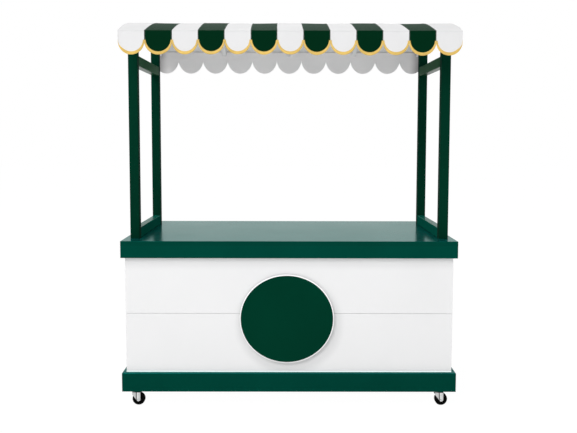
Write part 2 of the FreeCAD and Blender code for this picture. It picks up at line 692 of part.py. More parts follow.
# Casters
def caster_plate(x, y):
    """Top plate with four screw holes, the upper half of the race and the kingpin."""
    plate = box((f"({x} - plate_length / 2)", f"({y} - plate_width / 2)", PLATE_UNDER),
                ("plate_length", "plate_width", "fork_sheet"))
    bores = []
    for sx in (-1, 1):
        for sy in (-1, 1):
            bores.append(cylinder("(screw_diameter / 2 + bolt_clearance)",
                                  "(fork_sheet + 2 * overrun)",
                                  f"({x} + {sx} * (plate_length / 2 - screw_inset))",
                                  f"({y} + {sy} * (plate_width / 2 - screw_inset))",
                                  f"({PLATE_UNDER} - overrun)"))
    race_under = f"({RACE_TOP} + race_gap)"
    race = cylinder("(race_diameter / 2)", span(race_under, PLATE_UNDER), x, y, race_under)
    head_under = "(fork_crown - kingpin_head_height - axle_clearance)"
    head = cylinder("(kingpin_head / 2)", "kingpin_head_height", x, y, head_under)
    pin = cylinder("(axle_diameter / 2)", span(head_under, PLATE_UNDER), x, y, head_under)
    return fuse(cut(plate, fuse(*bores)), race, head, pin)


def caster_screws():
    """Hexagon-headed screws from below into the deck."""
    screws = []
    for x, y in screw_places():
        head = hexagon(f"({HEAD_SHARE} * screw_diameter)", "screw_head", x, y,
                       f"({PLATE_UNDER} - screw_head)")
        shank = cylinder("(screw_diameter / 2)", "screw_length", x, y, PLATE_UNDER)
        screws.append(fuse(head, shank))
    piece(group(screws), "caster_screws")


def fork(tag, x, y):
    """Pressed fork: crown, two tapering ribbed legs to the axle, lower half of the race.

    A leg's slanting edge runs from the shoulder to the round about the axle and touches it.
    """
    body = doc.addObject("PartDesign::Body", f"fork_{tag}")
    half = "(fork_width / 2)"
    wheel = ("caster_trail", WHEEL_RADIUS)
    run, rise = f"(caster_trail + {half})", f"(fork_shoulder - {WHEEL_RADIUS})"
    lean = f"(acos(fork_end / sqrt({run} ^ 2 + {rise} ^ 2)) - atan({rise} / {run}))"
    meet_x = f"(caster_trail - fork_end * cos{lean})"
    meet_z = f"({WHEEL_RADIUS} - fork_end * sin{lean})"
    end_x = "(caster_trail + fork_end)"
    leg = [(f"(-{half})", "fork_shoulder"), (meet_x, meet_z, (*wheel, 1)),
           (end_x, WHEEL_RADIUS), (end_x, CROWN_TOP), (f"(-{half})", CROWN_TOP)]
    add(body, "Pad", sketch_on(body, "XZ_Plane", [leg]), FORK_OUTER, both_ways=True)
    rib_left, rib_right = "(caster_trail - rib_width / 2)", "(caster_trail + rib_width / 2)"
    rib = [(rib_left, WHEEL_RADIUS, (*wheel, 1)), (rib_right, WHEEL_RADIUS),
           (rib_right, "fork_shoulder"), (rib_left, "fork_shoulder")]
    add(body, "Pad", sketch_on(body, "XZ_Plane", [rib]), RIBS_OUTER, both_ways=True)
    gap = rectangle("(-fork_width)", "0", "fork_width", "fork_crown")
    add(body, "Pocket", sketch_on(body, "XZ_Plane", [gap]), "fork_gap", both_ways=True)
    race = rectangle("(axle_diameter / 2)", CROWN_TOP, "(race_diameter / 2)", RACE_TOP)
    spin(body, "Revolution", sketch_on(body, "XZ_Plane", [race]), "Z_Axis")
    bore = [("0", "0", "(axle_diameter / 2 + axle_clearance)")]
    add(body, "Pocket", sketch_on(body, "XY_Plane", circles=bore), f"({RACE_TOP} + overrun)",
        backwards=True)
    axle_hole = [(*wheel, "(axle_diameter / 2 + bolt_clearance)")]
    add(body, "Pocket", sketch_on(body, "XZ_Plane", circles=axle_hole),
        f"({RIBS_OUTER} + 2 * overrun)", both_ways=True)
    place(body, x, y, 0)
    return piece(body, f"fork_{tag}")


def wheel(tag, x, y):
    """Moulded wheel: chamfered tread ring, thin web with holes, and boss."""
    body = doc.addObject("PartDesign::Body", f"wheel_{tag}")
    half = "(wheel_width / 2)"
    web = "(web_width / 2)"
    boss = "(fork_gap / 2 - boss_gap)"
    bore = "(axle_diameter / 2 + axle_clearance)"
    boss_out = "(boss_diameter / 2)"
    ring_in = f"({WHEEL_RADIUS} - tread_depth)"
    shoulder = f"({WHEEL_RADIUS} - wheel_chamfer)"
    flank = f"({half} - wheel_chamfer)"
    right = [(boss, bore), (boss, boss_out), (web, boss_out), (web, ring_in), (half, ring_in),
             (half, shoulder), (flank, WHEEL_RADIUS)]
    left = [(f"(-{across})", out) for across, out in reversed(right)]
    spin(body, "Revolution", sketch_on(body, "YZ_Plane", [right + left]), "Y_Axis")
    middle = f"(({boss_out} + {ring_in}) / 2)"
    hole = add(body, "Pocket", sketch_on(body, "XZ_Plane", circles=[(0, middle, "web_hole / 2")]),
               "wheel_width", both_ways=True)
    holes = body.newObject("PartDesign::PolarPattern", "holes")
    holes.Originals = [hole]
    holes.Axis = (origin_part(body, "Y_Axis"), [""])
    bind(holes, Occurrences="web_holes")
    body.Tip = holes
    place(body, f"({x} + caster_trail)", y, WHEEL_RADIUS)
    return piece(body, f"wheel_{tag}")


def axle(tag, x, y):
    """Axle bolt through the fork's legs, with a nut on its far side."""
    centre = f"({x} + caster_trail)"
    front = f"({y} - {RIBS_OUTER} / 2)"
    rear = f"({y} + {RIBS_OUTER} / 2)"
    shank = cylinder("(axle_diameter / 2)", f"({RIBS_OUTER} + axle_head)",
                     centre, f"({rear} + axle_head)", WHEEL_RADIUS)
    across = f"({HEAD_SHARE} * axle_diameter)"
    head = hexagon(across, "axle_head", centre, front, WHEEL_RADIUS)
    nut = hexagon(across, "axle_head", centre, f"({rear} + axle_head)", WHEEL_RADIUS)
    for part in (shank, head, nut):
        turned(part, V(1, 0, 0), 90)
    return piece(fuse(shank, head, nut), f"axle_{tag}")


def casters():
    """Four swivel casters under the deck."""
    piece(group([caster_plate(x, y) for _, x, y in caster_places()]), "caster_plates")
    caster_screws()
    for tag, x, y in caster_places():
        fork(tag, x, y)
        wheel(tag, x, y)
        axle(tag, x, y)


def write_parts():
    """Checks every object and writes one file for each sub-part."""
    doc.recompute()
    for item in doc.Objects:
        if "Invalid" in item.State or "Error" in item.State:
            raise RuntimeError(f"{item.Label} did not compute: {item.State}")
    os.makedirs("parts", exist_ok=True)
    for item in pieces:
        if item.Shape.isNull() or not item.Shape.isValid():
            raise RuntimeError(f"{item.Label} has no valid shape")
        item.Shape.exportStep(f"parts/{item.Label}.step")
    print(len(pieces), "sub-parts written")


worktop()
skirts()
panels()
carcass()
shelves()
sign()
posts()
rails()
roof_frame()
roof_cover()
valances()
casters()
write_parts()
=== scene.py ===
"""Bakery booth: a wheeled counter of boards with four posts and a striped, scalloped canopy.

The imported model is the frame. Its boards, forks and wheels stay and get their finishes here,
and the cloth, the tubes and the sign are built anew. Metres, +Z up, -Y is the customers' side.
"""

import json
import math

import bpy
import numpy as np
from bpy.props import FloatProperty, FloatVectorProperty, IntProperty, PointerProperty
from mathutils import Matrix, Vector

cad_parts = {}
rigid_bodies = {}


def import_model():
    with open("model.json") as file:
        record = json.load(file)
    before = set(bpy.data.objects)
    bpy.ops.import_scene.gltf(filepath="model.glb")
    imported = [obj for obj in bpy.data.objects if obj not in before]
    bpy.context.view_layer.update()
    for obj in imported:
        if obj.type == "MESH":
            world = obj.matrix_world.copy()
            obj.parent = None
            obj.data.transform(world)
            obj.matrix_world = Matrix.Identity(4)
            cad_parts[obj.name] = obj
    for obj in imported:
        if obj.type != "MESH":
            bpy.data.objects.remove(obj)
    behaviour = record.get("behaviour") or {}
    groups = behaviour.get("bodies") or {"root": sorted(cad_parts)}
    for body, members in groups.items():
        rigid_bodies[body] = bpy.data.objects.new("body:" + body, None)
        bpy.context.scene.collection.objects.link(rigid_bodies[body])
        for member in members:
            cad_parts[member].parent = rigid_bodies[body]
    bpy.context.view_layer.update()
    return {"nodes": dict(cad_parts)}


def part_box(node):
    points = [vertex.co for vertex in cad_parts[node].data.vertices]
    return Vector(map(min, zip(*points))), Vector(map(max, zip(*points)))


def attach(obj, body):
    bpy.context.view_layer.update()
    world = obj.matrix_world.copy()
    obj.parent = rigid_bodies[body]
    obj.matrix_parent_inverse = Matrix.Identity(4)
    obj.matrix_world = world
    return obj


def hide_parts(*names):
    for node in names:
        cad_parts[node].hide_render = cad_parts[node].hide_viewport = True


for leftover in list(bpy.data.objects):
    bpy.data.objects.remove(leftover)
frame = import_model()

bl_info = {
    "name": "Bakery booth",
    "version": (1, 0, 0),
    "blender": (4, 5, 0),
    "location": "View3D > Sidebar > Booth",
    "description": "Builds the cloth, tubes, sign, finishes and stage of a bakery booth",
    "category": "Object",
}

CLOTH_UV = "cloth"
BODY = "booth"
ENDS = ("front", "rear")
SIDES = ("left", "right")
BLACK = (0.0, 0.0, 0.0, 1.0)
EAVE_RISE = 0.0025  # the fold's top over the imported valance's, in metres
ARCH_SHARES = (-1.0, -0.5, 0.0, 0.5, 1.0)
# How far each seam of the canopy was sewn off its even place, left end to right end, in metres,
# and how much farther off it lies over the middle of the roof
SEAM_SHIFTS = (0.006, 0.005, 0.0110, 0.0065, 0.0075, 0.005, 0.005, 0.002, 0.004, 0.0005, 0.002,
               -0.0015, 0.0015, 0.0)
CROWN_SHIFTS = (0.0, 0.0105, 0.0075, 0.0055, 0.004, -0.002, -0.003, -0.0065, -0.0065, -0.0115,
                -0.0125, -0.0150, -0.0125, 0.0)
# How far each front scallop hangs below the first one's even line, left to right, in metres
SCALLOP_DROPS = (0.0028, 0.003, 0.0018, 0.0015, 0.0006, 0.0028, 0.0014, 0.0042, 0.0032, 0.0056,
                 0.0037, 0.0064, 0.0052)
# Waves of the cloth along X: share of their height, radians a metre and start
EAVE_WAVES = ((1.0, 61.0, 0.3), (0.6, 103.0, 1.7))
PUFF_WAVES = ((1.0, 70.0, 0.0),)
# How each valance swings: the drop at which its waves are whole, in metres, the power of the
# drop that they grow with, how far it stands out without them, and its waves
FRONT_SWAY = (0.11, 1.5, 0.35, ((0.45, 9.1, 0.6), (0.30, 23.0, 2.2), (0.25, 47.0, 0.9)))
REAR_SWAY = (0.12, 1.4, 0.0, ((0.5, 7.3, 1.9), (0.3, 19.0, 0.4), (0.2, 41.0, 2.9)))

FINISHES = {}
EFFECTS = {}


def setting(kind, **fixed):
    """Makes settings of one kind, each from a name, a description and a default."""
    def make(name, description, default):
        return kind(name=name, description=description, default=default, **fixed)
    return make


# Lengths and places are in metres, angles in radians and colours in linear light
length = setting(FloatProperty, unit="LENGTH", precision=4)
share = setting(FloatProperty, precision=4)
how_many = setting(IntProperty)
angle = setting(FloatProperty, subtype="ANGLE", unit="ROTATION", precision=5)
colour = setting(FloatVectorProperty, subtype="COLOR", size=3, min=0.0, max=1.0)
place = setting(FloatVectorProperty, subtype="TRANSLATION", unit="LENGTH", size=3)


class BoothCanopy(bpy.types.PropertyGroup):
    """Sizes of the cloth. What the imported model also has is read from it."""

    width: length("Width", "Roof cover, left to right", 2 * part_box("roof_cover")[1].x)
    eave: length("Eave", "Floor to the fold over the eaves",
                 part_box("valance_white")[1].z + EAVE_RISE)
    crest: length("Crest", "Floor to the top of the roof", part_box("roof_cover")[1].z)
    front: length("Front", "Middle to the front valance's face",
                  -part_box("valance_white")[0].y)
    rear: length("Rear", "Middle to the rear valance's face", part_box("valance_rear")[1].y)
    front_bottom: length("Front bottom", "Floor to the bottom of the front scallops",
                         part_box("valance_white")[0].z)
    rear_bottom: length("Rear bottom", "Floor to the bottom of the rear scallops",
                        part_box("valance_rear")[0].z)
    rear_scallop: length("Rear scallop", "Depth of the rear scallops", 0.092)
    cloth: length("Cloth", "Thickness of the coated cloth with its hems", 0.002)
    lining: length("Lining", "Thickness of the inner layer and of the tube pocket", 0.0006)
    lining_gap: length("Lining gap", "Inner layer to what it hangs beside", 0.001)
    lining_lean: length("Lining lean", "Drop over which the inner layer meets the outer", 0.085)
    fold: length("Fold", "Radius at which the cloth turns down at the eaves", 0.0028)
    sag: length("Sag", "How far the roof sinks between two arches", 0.003)
    sway: length("Sway", "How far the valances swing out of their plane", 0.0022)
    ripple: length("Ripple", "Height of the ripples along the eaves", 0.0005)
    ripple_reach: length("Ripple reach", "How far the ripples run up the roof", 0.07)
    ripple_start: length("Ripple start", "Eave to where the ripples are whole", 0.02)
    seam: length("Seam", "Width of the sewn seams", 0.012)
    seam_rise: length("Seam rise", "Height of the sewn seams", 0.0007)
    seam_edge: length("Seam edge", "Width over which a sewn seam rises", 0.0015)
    crown_reach: length("Crown reach", "Eave to where most of the crown's shifts are in", 0.1)
    hem: length("Hem", "Width of the turned hem of the rear valance", 0.009)
    hem_rise: length("Hem rise", "Height of the turned hem", 0.0005)
    hem_edge: length("Hem edge", "Width over which the hem rises", 0.002)
    binding: length("Binding", "Thickness of the binding", 0.0011)
    binding_low: length("Binding below", "Binding at the bottom of a scallop", 0.0152)
    binding_tip: length("Binding tip", "Binding at the cusps", 0.0074)
    binding_rise: length("Binding rise", "Binding above the round of a scallop", 0.006)
    binding_end: share("Binding end", "Share of the binding's width at the canopy's ends", 0.15)
    binding_taper: angle("Binding taper", "Turn over which it widens from there", 0.9)
    pocket_corner: length("Pocket corner", "Bends of the pocket round the front tube", 0.003)
    pocket_tail: length("Pocket tail", "How far the pocket hangs below its bend", 0.006)
    pocket_gap: length("Pocket gap", "Arches' middles to the pocket's pieces", 0.0135)
    pocket_end: length("Pocket end", "Ends of the front tube to the pocket's ends", 0.006)
    pocket_puff: length("Pocket puff", "How far the pocket puffs out", 0.0006)
    front_scallops: how_many("Front scallops", "Scallops of the front valance", 13)
    rear_scallops: how_many("Rear scallops", "Scallops of the rear valance", 11)


class BoothBuild(bpy.types.PropertyGroup):
    """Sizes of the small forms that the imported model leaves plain."""

    tube_corner: length("Tube corner", "Outer radius of the square tubes' corners", 0.0035)
    tube_wall: length("Tube wall", "Wall of the square tubes", 0.0022)
    tube_chamfer: length("Tube chamfer", "Chamfer at the tubes' ends", 0.0004)
    board_edge: length("Board edge", "Rounding of the white boards' edges", 0.0008)
    sheet_edge: length("Sheet edge", "Rounding of the casters' pressed sheet", 0.0004)
    rim_more: length("Rim growth", "What the sign's rim stands out further", 0.0025)
    sign_edge: length("Sign edge", "Rounding of the sign's edges", 0.0008)
    plinth_round: length("Plinth rounding", "Rounding of the plinth's upper edge", 0.004)
    plinth_foot: length("Plinth foot", "Chamfer at the plinth's lower edge", 0.0008)
    plinth_board: length("Plinth board", "Thickness of the plinth boards", 0.02)
    plinth_more: length("Plinth paint", "How far the plinth's paint stands out at its ends",
                        0.0014)
    tread: length("Tread", "Width of the wheels' tread", 0.024)
    wheel_round: length("Wheel rounding", "Rounding of the tread's shoulders", 0.005)
    wheel_bore: length("Wheel bore", "Radius of the wheels' bore", 0.0046)
    wheel_ease: length("Wheel easing", "Chamfers of the wheels' boss and ring", 0.001)
    boss_share: share("Boss", "Radius of the boss, share of the wheel's", 0.30)
    ring_share: share("Ring", "Radius of the tread's inner ring, share of the wheel's", 0.74)
    web_share: share("Web", "Thickness of the wheels' web, share of the tread's", 0.3)
    bead: length("Bead", "Height of the sealing bead at the foot of the white boards", 0.005)


class BoothFinish(bpy.types.PropertyGroup):
    """Colours of the booth, in linear light, and how the finishes vary."""

    # Painted light: the worktop's and plinth's top faces are a lighter green than their edges,
    # standing for the light falling on them
    top_green_painted_light: colour("Worktop", "Top face of the worktop", (0.002, 0.105, 0.092))
    edge_green: colour("Edges", "Edge and plinth boards", (0.0004, 0.0525, 0.0357))
    post_green: colour("Posts", "Powder coat of the posts", (0.001, 0.0335, 0.0175))
    # Painted light: the rails have the posts' powder coat, and their lighter greens stand for the
    # light on their faces
    upper_green: colour("Upper rails", "Powder coat of the upper rails", (0.004, 0.069, 0.021))
    lower_green: colour("Lower rails", "Powder coat of the lower rails", (0.003, 0.125, 0.088))
    sign_green: colour("Sign", "Face of the sign", (0.0006, 0.0345, 0.0185))
    cloth_green: colour("Green cloth", "Green panels of the canopy", (0.0006, 0.0225, 0.0085))
    cloth_white: colour("White cloth", "White panels of the canopy", (0.765, 0.765, 0.77))
    # The inner side is paler than the outer white cloth: painted light on the shaded inside of the
    # canopy
    lining: colour("Lining", "Inner side of the cloth", (0.90, 0.88, 0.885))
    gold: colour("Binding", "Binding tape", (0.79, 0.53, 0.13))
    board_white: colour("Boards", "White boards", (0.835, 0.835, 0.84))
    # The bead's pale cyan white, brighter than the boards, is a painted highlight along their foot
    bead_white: colour("Bead", "Sealing bead", (0.90, 0.99, 0.99))
    carcass: colour("Carcass", "Melamine boards inside", (0.80, 0.79, 0.77))
    pine: colour("Battens", "Planed softwood", (0.60, 0.42, 0.24))
    zinc: colour("Zinc", "Zinc plate of the casters and bolts", (0.58, 0.60, 0.60))
    # Painted shade: the caster plates' zinc is darkened where the plinth shades them
    zinc_in_painted_shade: colour("Dull zinc", "Caster plates under the deck", (0.1, 0.1, 0.1))
    plug: colour("Plugs", "Plastic plugs in the posts", (0.03, 0.03, 0.03))
    rubber: colour("Wheels", "Moulded wheels", (0.002, 0.002, 0.002))
    # Painted highlights: light that the sign's rim gives off at its top, and the sealing bead
    # along its length
    rim_painted_glow: share("Rim glow", "Light that the sign's rim passes on at its top", 0.28)
    bead_painted_glow: share("Bead glow", "Light that the sealing bead passes on", 0.22)
    # Painted shadow beside the sign and painted shade under the worktop: how much darker the
    # boards are there
    sign_painted_shadow: share("Sign shade", "How much greyer the boards are beside the sign", 0.13)
    top_painted_shade: share("Top shade", "How much greyer the boards are under the worktop", 0.11)
    # Painted shade at the ends of the rear valance's inner layer, by the posts
    end_painted_shade: share("End shade", "How much greyer the ends of the inner layer are", 0.58)


class BoothStudio(bpy.types.PropertyGroup):
    """Camera, lamps and floor."""

    eye: place("Eye", "Where the camera stands", (-0.0117, -4.1645, 1.4742))
    pitch: angle("Pitch", "How far the camera looks down", 0.073)
    yaw: angle("Yaw", "How far the camera looks to the right", 0.0019)
    roll: angle("Roll", "How far the camera's right side is tipped up", 0.0017)
    lens: share("Lens", "Focal length in millimetres for a 36 mm wide sensor", 43.92)
    shift: share("Shift", "Upright shift, in widths of the frame", -0.05)
    dome: share("Dome", "Level of the light from all round", 0.46)
    aim: place("Aim", "Where the lamps point", (0.0, 0.0, 1.0))
    key: share("Key", "Power of the upper lamp, in watts", 1010.0)
    key_place: place("Key place", "Where the upper lamp hangs", (-5.2, -10.6, 10.2))
    key_size: length("Key size", "Side of the upper lamp", 6.3)
    fill: share("Fill", "Power of the low lamp, in watts", 54.0)
    fill_place: place("Fill place", "Where the low lamp stands", (0.3, -6.0, 1.1))
    fill_size: length("Fill size", "Side of the low lamp", 3.0)
    crown: share("Roof lamp", "Power of the lamp over the roof, in watts", 27.0)
    crown_place: place("Roof lamp place", "Where the lamp over the roof hangs",
                       (0.0, 0.7, 4.6))
    crown_size: length("Roof lamp size", "Side of the lamp over the roof", 1.6)
    floor_white: share("Floor", "Paleness of the floor", 0.95)
    floor_reach: length("Floor reach", "Middle of the floor to its edges", 30.0)
    shadow: share("Shadow", "Share of the floor's shading that the camera sees", 0.05)


# Surfaces
def grid_faces(rows, columns, first, wrap_rows, wrap_columns):
    """Quads of a grid whose points are numbered row by row, starting at first.

    Their front is where the column direction crossed with the row direction points.
    """
    numbers = first + np.arange(rows * columns).reshape(rows, columns)
    if wrap_rows:
        numbers = np.vstack([numbers, numbers[:1]])
    if wrap_columns:
        numbers = np.hstack([numbers, numbers[:, :1]])
    corners = (numbers[:-1, :-1], numbers[:-1, 1:], numbers[1:, 1:], numbers[1:, :-1])
    return np.stack(corners, axis=-1).reshape(-1, 4)


def surface(name, grids, finishes, uvs=None, wrap_rows=False, wrap_columns=False, sharp=35):
    """A mesh object of one or more grids of points, with finishes by name.

    Each grid is an array of rows, columns and xyz. Where two faces meet at more than the
    sharp angle, in degrees, the edge stays crisp.
    """
    faces = []
    first = 0
    for grid in grids:
        faces.append(grid_faces(*grid.shape[:2], first, wrap_rows, wrap_columns))
        first += grid.shape[0] * grid.shape[1]
    faces = np.concatenate(faces)
    mesh = bpy.data.meshes.new(name)
    points = np.concatenate([grid.reshape(-1, 3) for grid in grids])
    mesh.from_pydata(points.tolist(), [], faces.tolist())
    if uvs is not None:
        layer = mesh.uv_layers.new(name=CLOTH_UV)
        flat = np.concatenate([uv.reshape(-1, 2) for uv in uvs])
        layer.data.foreach_set("uv", flat[faces.ravel()].astype(np.float32).ravel())
    for finish in finishes:
        mesh.materials.append(FINISHES[finish])
    mesh.shade_smooth()
    mesh.set_sharp_from_angle(angle=math.radians(sharp))
    mesh.validate()
    piece = bpy.data.objects.new(name, mesh)
    bpy.context.scene.collection.objects.link(piece)
    return piece


def stacked(*parts):
    """Coordinates or UVs of a grid, from arrays that are spread to the same shape."""
    return np.stack(np.broadcast_arrays(*parts), axis=-1)


def run_along(*coordinates):
    """Length along a line of points up to each of them."""
    steps = np.sqrt(sum(np.diff(line) ** 2 for line in coordinates))
    return np.concatenate([[0.0], np.cumsum(steps)])


def quarter(points):
    """A quarter turn's evenly spaced points: 1 - cos and 1 - sin, as shares of the radius."""
    turn = np.linspace(0.0, math.pi / 2, points)
    return 1.0 - np.cos(turn), 1.0 - np.sin(turn)


def box(packed):
    """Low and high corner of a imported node's box."""
    low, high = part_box(packed)
    return np.array(low), np.array(high)


def fit(piece, slot, *nodes, body=BODY):
    """The piece rides on its body and stands for the nodes, which it hides. The slot is not used.
    """
    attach(piece, body)
    if nodes:
        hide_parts(*nodes)
    return piece


def thicken(piece, thickness, lined=False):
    """Gives a sheet its thickness, inwards from its outer face."""
    wall = piece.modifiers.new("thickness", "SOLIDIFY")
    wall.thickness = thickness
    wall.offset = -1.0
    wall.use_even_offset = True
    wall.material_offset = 1 if lined else 0
    wall.material_offset_rim = 0


def soften(piece, width):
    """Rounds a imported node's crisp edges, once its loose triangles are joined."""
    joined = piece.modifiers.new("joined", "WELD")
    joined.merge_threshold = 1e-5
    rounded = piece.modifiers.new("rounded", "BEVEL")
    rounded.width = width
    rounded.segments = 2
    rounded.limit_method = "ANGLE"
    rounded.angle_limit = math.radians(40)
    rounded.use_clamp_overlap = True
    rounded.harden_normals = False


def flatten(piece):
    """Lets the large flat faces rule the shading, so that only the roundings catch light."""
    even = piece.modifiers.new("even_faces", "WEIGHTED_NORMAL")
    even.weight = 100
    even.keep_sharp = True
    return piece


def smoothstep(value):
    """Rises smoothly from 0 to 1 as the value does."""
    value = np.clip(value, 0.0, 1.0)
    return value * value * (3.0 - 2.0 * value)


def waves(x, parts):
    """Sum of waves along X, each a height, radians a metre and a start."""
    return sum(height * np.sin(x * rate + start) for height, rate, start in parts)


# Cloth
def roof_curve(canopy):
    """Radius of the roof's arc and height of its centre.

    The arc passes through the crest and through both eaves.
    """
    rise = canopy.crest - canopy.eave
    radius = (rise ** 2 + canopy.rear ** 2) / (2.0 * rise)
    return radius, canopy.crest - radius


def roof_under(canopy, out):
    """Height of the roof's underside at a distance from the middle."""
    radius, centre = roof_curve(canopy)
    return centre + math.sqrt((radius - canopy.cloth) ** 2 - out ** 2)


def fold_centre(canopy, reach):
    """Distance and height of a fold's centre, and how far the cloth leans where it starts.

    The fold is an arc that touches the roof's arc from inside and the valance's upright face
    at the given reach from the middle.
    """
    radius, centre = roof_curve(canopy)
    out = reach - canopy.fold
    up = centre + math.sqrt((radius - canopy.fold) ** 2 - out ** 2)
    return out, up, math.asin(out / (radius - canopy.fold))


def roof_path(canopy):
    """Outer line of the roof from the front fold to the rear one: y, z and length so far.

    Front fold, then the roof's arc, then the rear fold, each an arc of evenly spaced points
    about its own centre, turned from upright.
    """
    radius, centre = roof_curve(canopy)
    front_out, front_up, front_lean = fold_centre(canopy, canopy.front)
    rear_out, rear_up, rear_lean = fold_centre(canopy, canopy.rear)
    arcs = ((-front_out, front_up, canopy.fold, np.linspace(-math.pi / 2, -front_lean, 7)),
            (0.0, centre, radius, np.linspace(-front_lean, rear_lean, 57)[1:-1]),
            (rear_out, rear_up, canopy.fold, np.linspace(rear_lean, math.pi / 2, 7)))
    y, z = np.hstack([np.array((out + size * np.sin(turn), up + size * np.cos(turn)))
                      for out, up, size, turn in arcs])
    return y, z, run_along(y, z)


def scallop_columns(width, count, segments):
    """Places along X, crowded at the cusps: cosine steps within each scallop."""
    pitch = width / count
    steps = (1.0 - np.cos(np.linspace(0.0, math.pi, segments + 1))) / 2.0
    starts = -width / 2 + pitch * np.arange(count)
    columns = (starts[:, None] + pitch * steps[None, :-1]).ravel()
    return np.append(columns, width / 2)


def across_scallop(canopy, x, count):
    """Where places along X lie in their own scallop: -1 at its left cusp, 1 at its right."""
    place_in = (x + canopy.width / 2) / (canopy.width / count)
    return (place_in - np.clip(np.floor(place_in), 0, count - 1) - 0.5) * 2.0


def scallop_bottom(canopy, x, count, bottom, depth):
    """Height of a scalloped edge above places along X: half an oval of a depth each."""
    off = across_scallop(canopy, x, count)
    return bottom + depth * (1.0 - np.sqrt(np.clip(1.0 - off ** 2, 0.0, None)))


def sewn(canopy, x, from_eave=0.0):
    """Where even places along X lie on the sewn canopy: shifted between its seams.

    Away from the eaves the crown's shifts come in, nearly whole after 0.2 m.
    """
    seams = np.linspace(-canopy.width / 2, canopy.width / 2, len(SEAM_SHIFTS))
    crown = 1.0 - np.exp(-from_eave / canopy.crown_reach)
    return x + np.interp(x, seams, SEAM_SHIFTS) + np.interp(x, seams, CROWN_SHIFTS) * crown


def seam_rise(canopy, x):
    """Height of the sewn seams: a flat ridge at each boundary between two panels."""
    pitch = canopy.width / canopy.front_scallops
    place_in = (x + canopy.width / 2) / pitch
    off = np.abs(place_in - np.round(place_in)) * pitch
    return canopy.seam_rise * smoothstep((canopy.seam / 2 - off) / canopy.seam_edge)


def sway(canopy, kind, x, drop):
    """How far a valance stands out: waves that grow with a power of the drop."""
    whole, power, steady, parts = kind
    grow = (np.clip(drop, 0.0, None) / whole) ** power
    return canopy.sway * grow * (steady + waves(x, parts))


def arch_line():
    """Middle of the booth to the outer arches' middles."""
    low, high = box("arch_right")
    return (low[0] + high[0]) / 2


class BOOTH_OT_roof(bpy.types.Operator):
    """Builds the roof cover: one sewn sheet over the arches, folded down at both eaves"""

    bl_idname = "booth.roof"
    bl_label = "Roof cover"

    def execute(self, context):
        canopy = context.scene.booth_canopy
        y, z, run = roof_path(canopy)
        x = scallop_columns(canopy.width, canopy.front_scallops, 20)
        out = np.array((-np.gradient(z, run), np.gradient(y, run)))
        out_y, out_z = (out / np.hypot(*out))[:, :, None]
        from_eave = np.minimum(run, run[-1] - run)[:, None]
        lift = (seam_rise(canopy, x) - self.sink(canopy, x, (run / run[-1])[:, None])
                + self.ripple(canopy, x, from_eave))
        grid = stacked(sewn(canopy, x, from_eave), y[:, None] + out_y * lift,
                       z[:, None] + out_z * lift)
        roof = surface("roof_cloth", [grid], ["striped_cloth", "lining"],
                       [stacked(x, run[:, None])])
        thicken(roof, canopy.cloth, lined=True)
        fit(roof, "cloth_white", "roof_cover")
        return {"FINISHED"}

    def sink(self, canopy, x, along):
        """How far the roof sinks: a squared sine from arch to arch, less towards the eaves."""
        bay = x / arch_line() * 2.0
        return canopy.sag * np.sin(math.pi * bay) ** 2 * np.sin(math.pi * along) ** 0.7

    def ripple(self, canopy, x, from_eave):
        """Small waves along the eaves, which fade up the roof and start just off the fold."""
        near = np.exp(-from_eave / canopy.ripple_reach)
        start = smoothstep(from_eave / canopy.ripple_start)
        return canopy.ripple * near * start * waves(x, EAVE_WAVES)


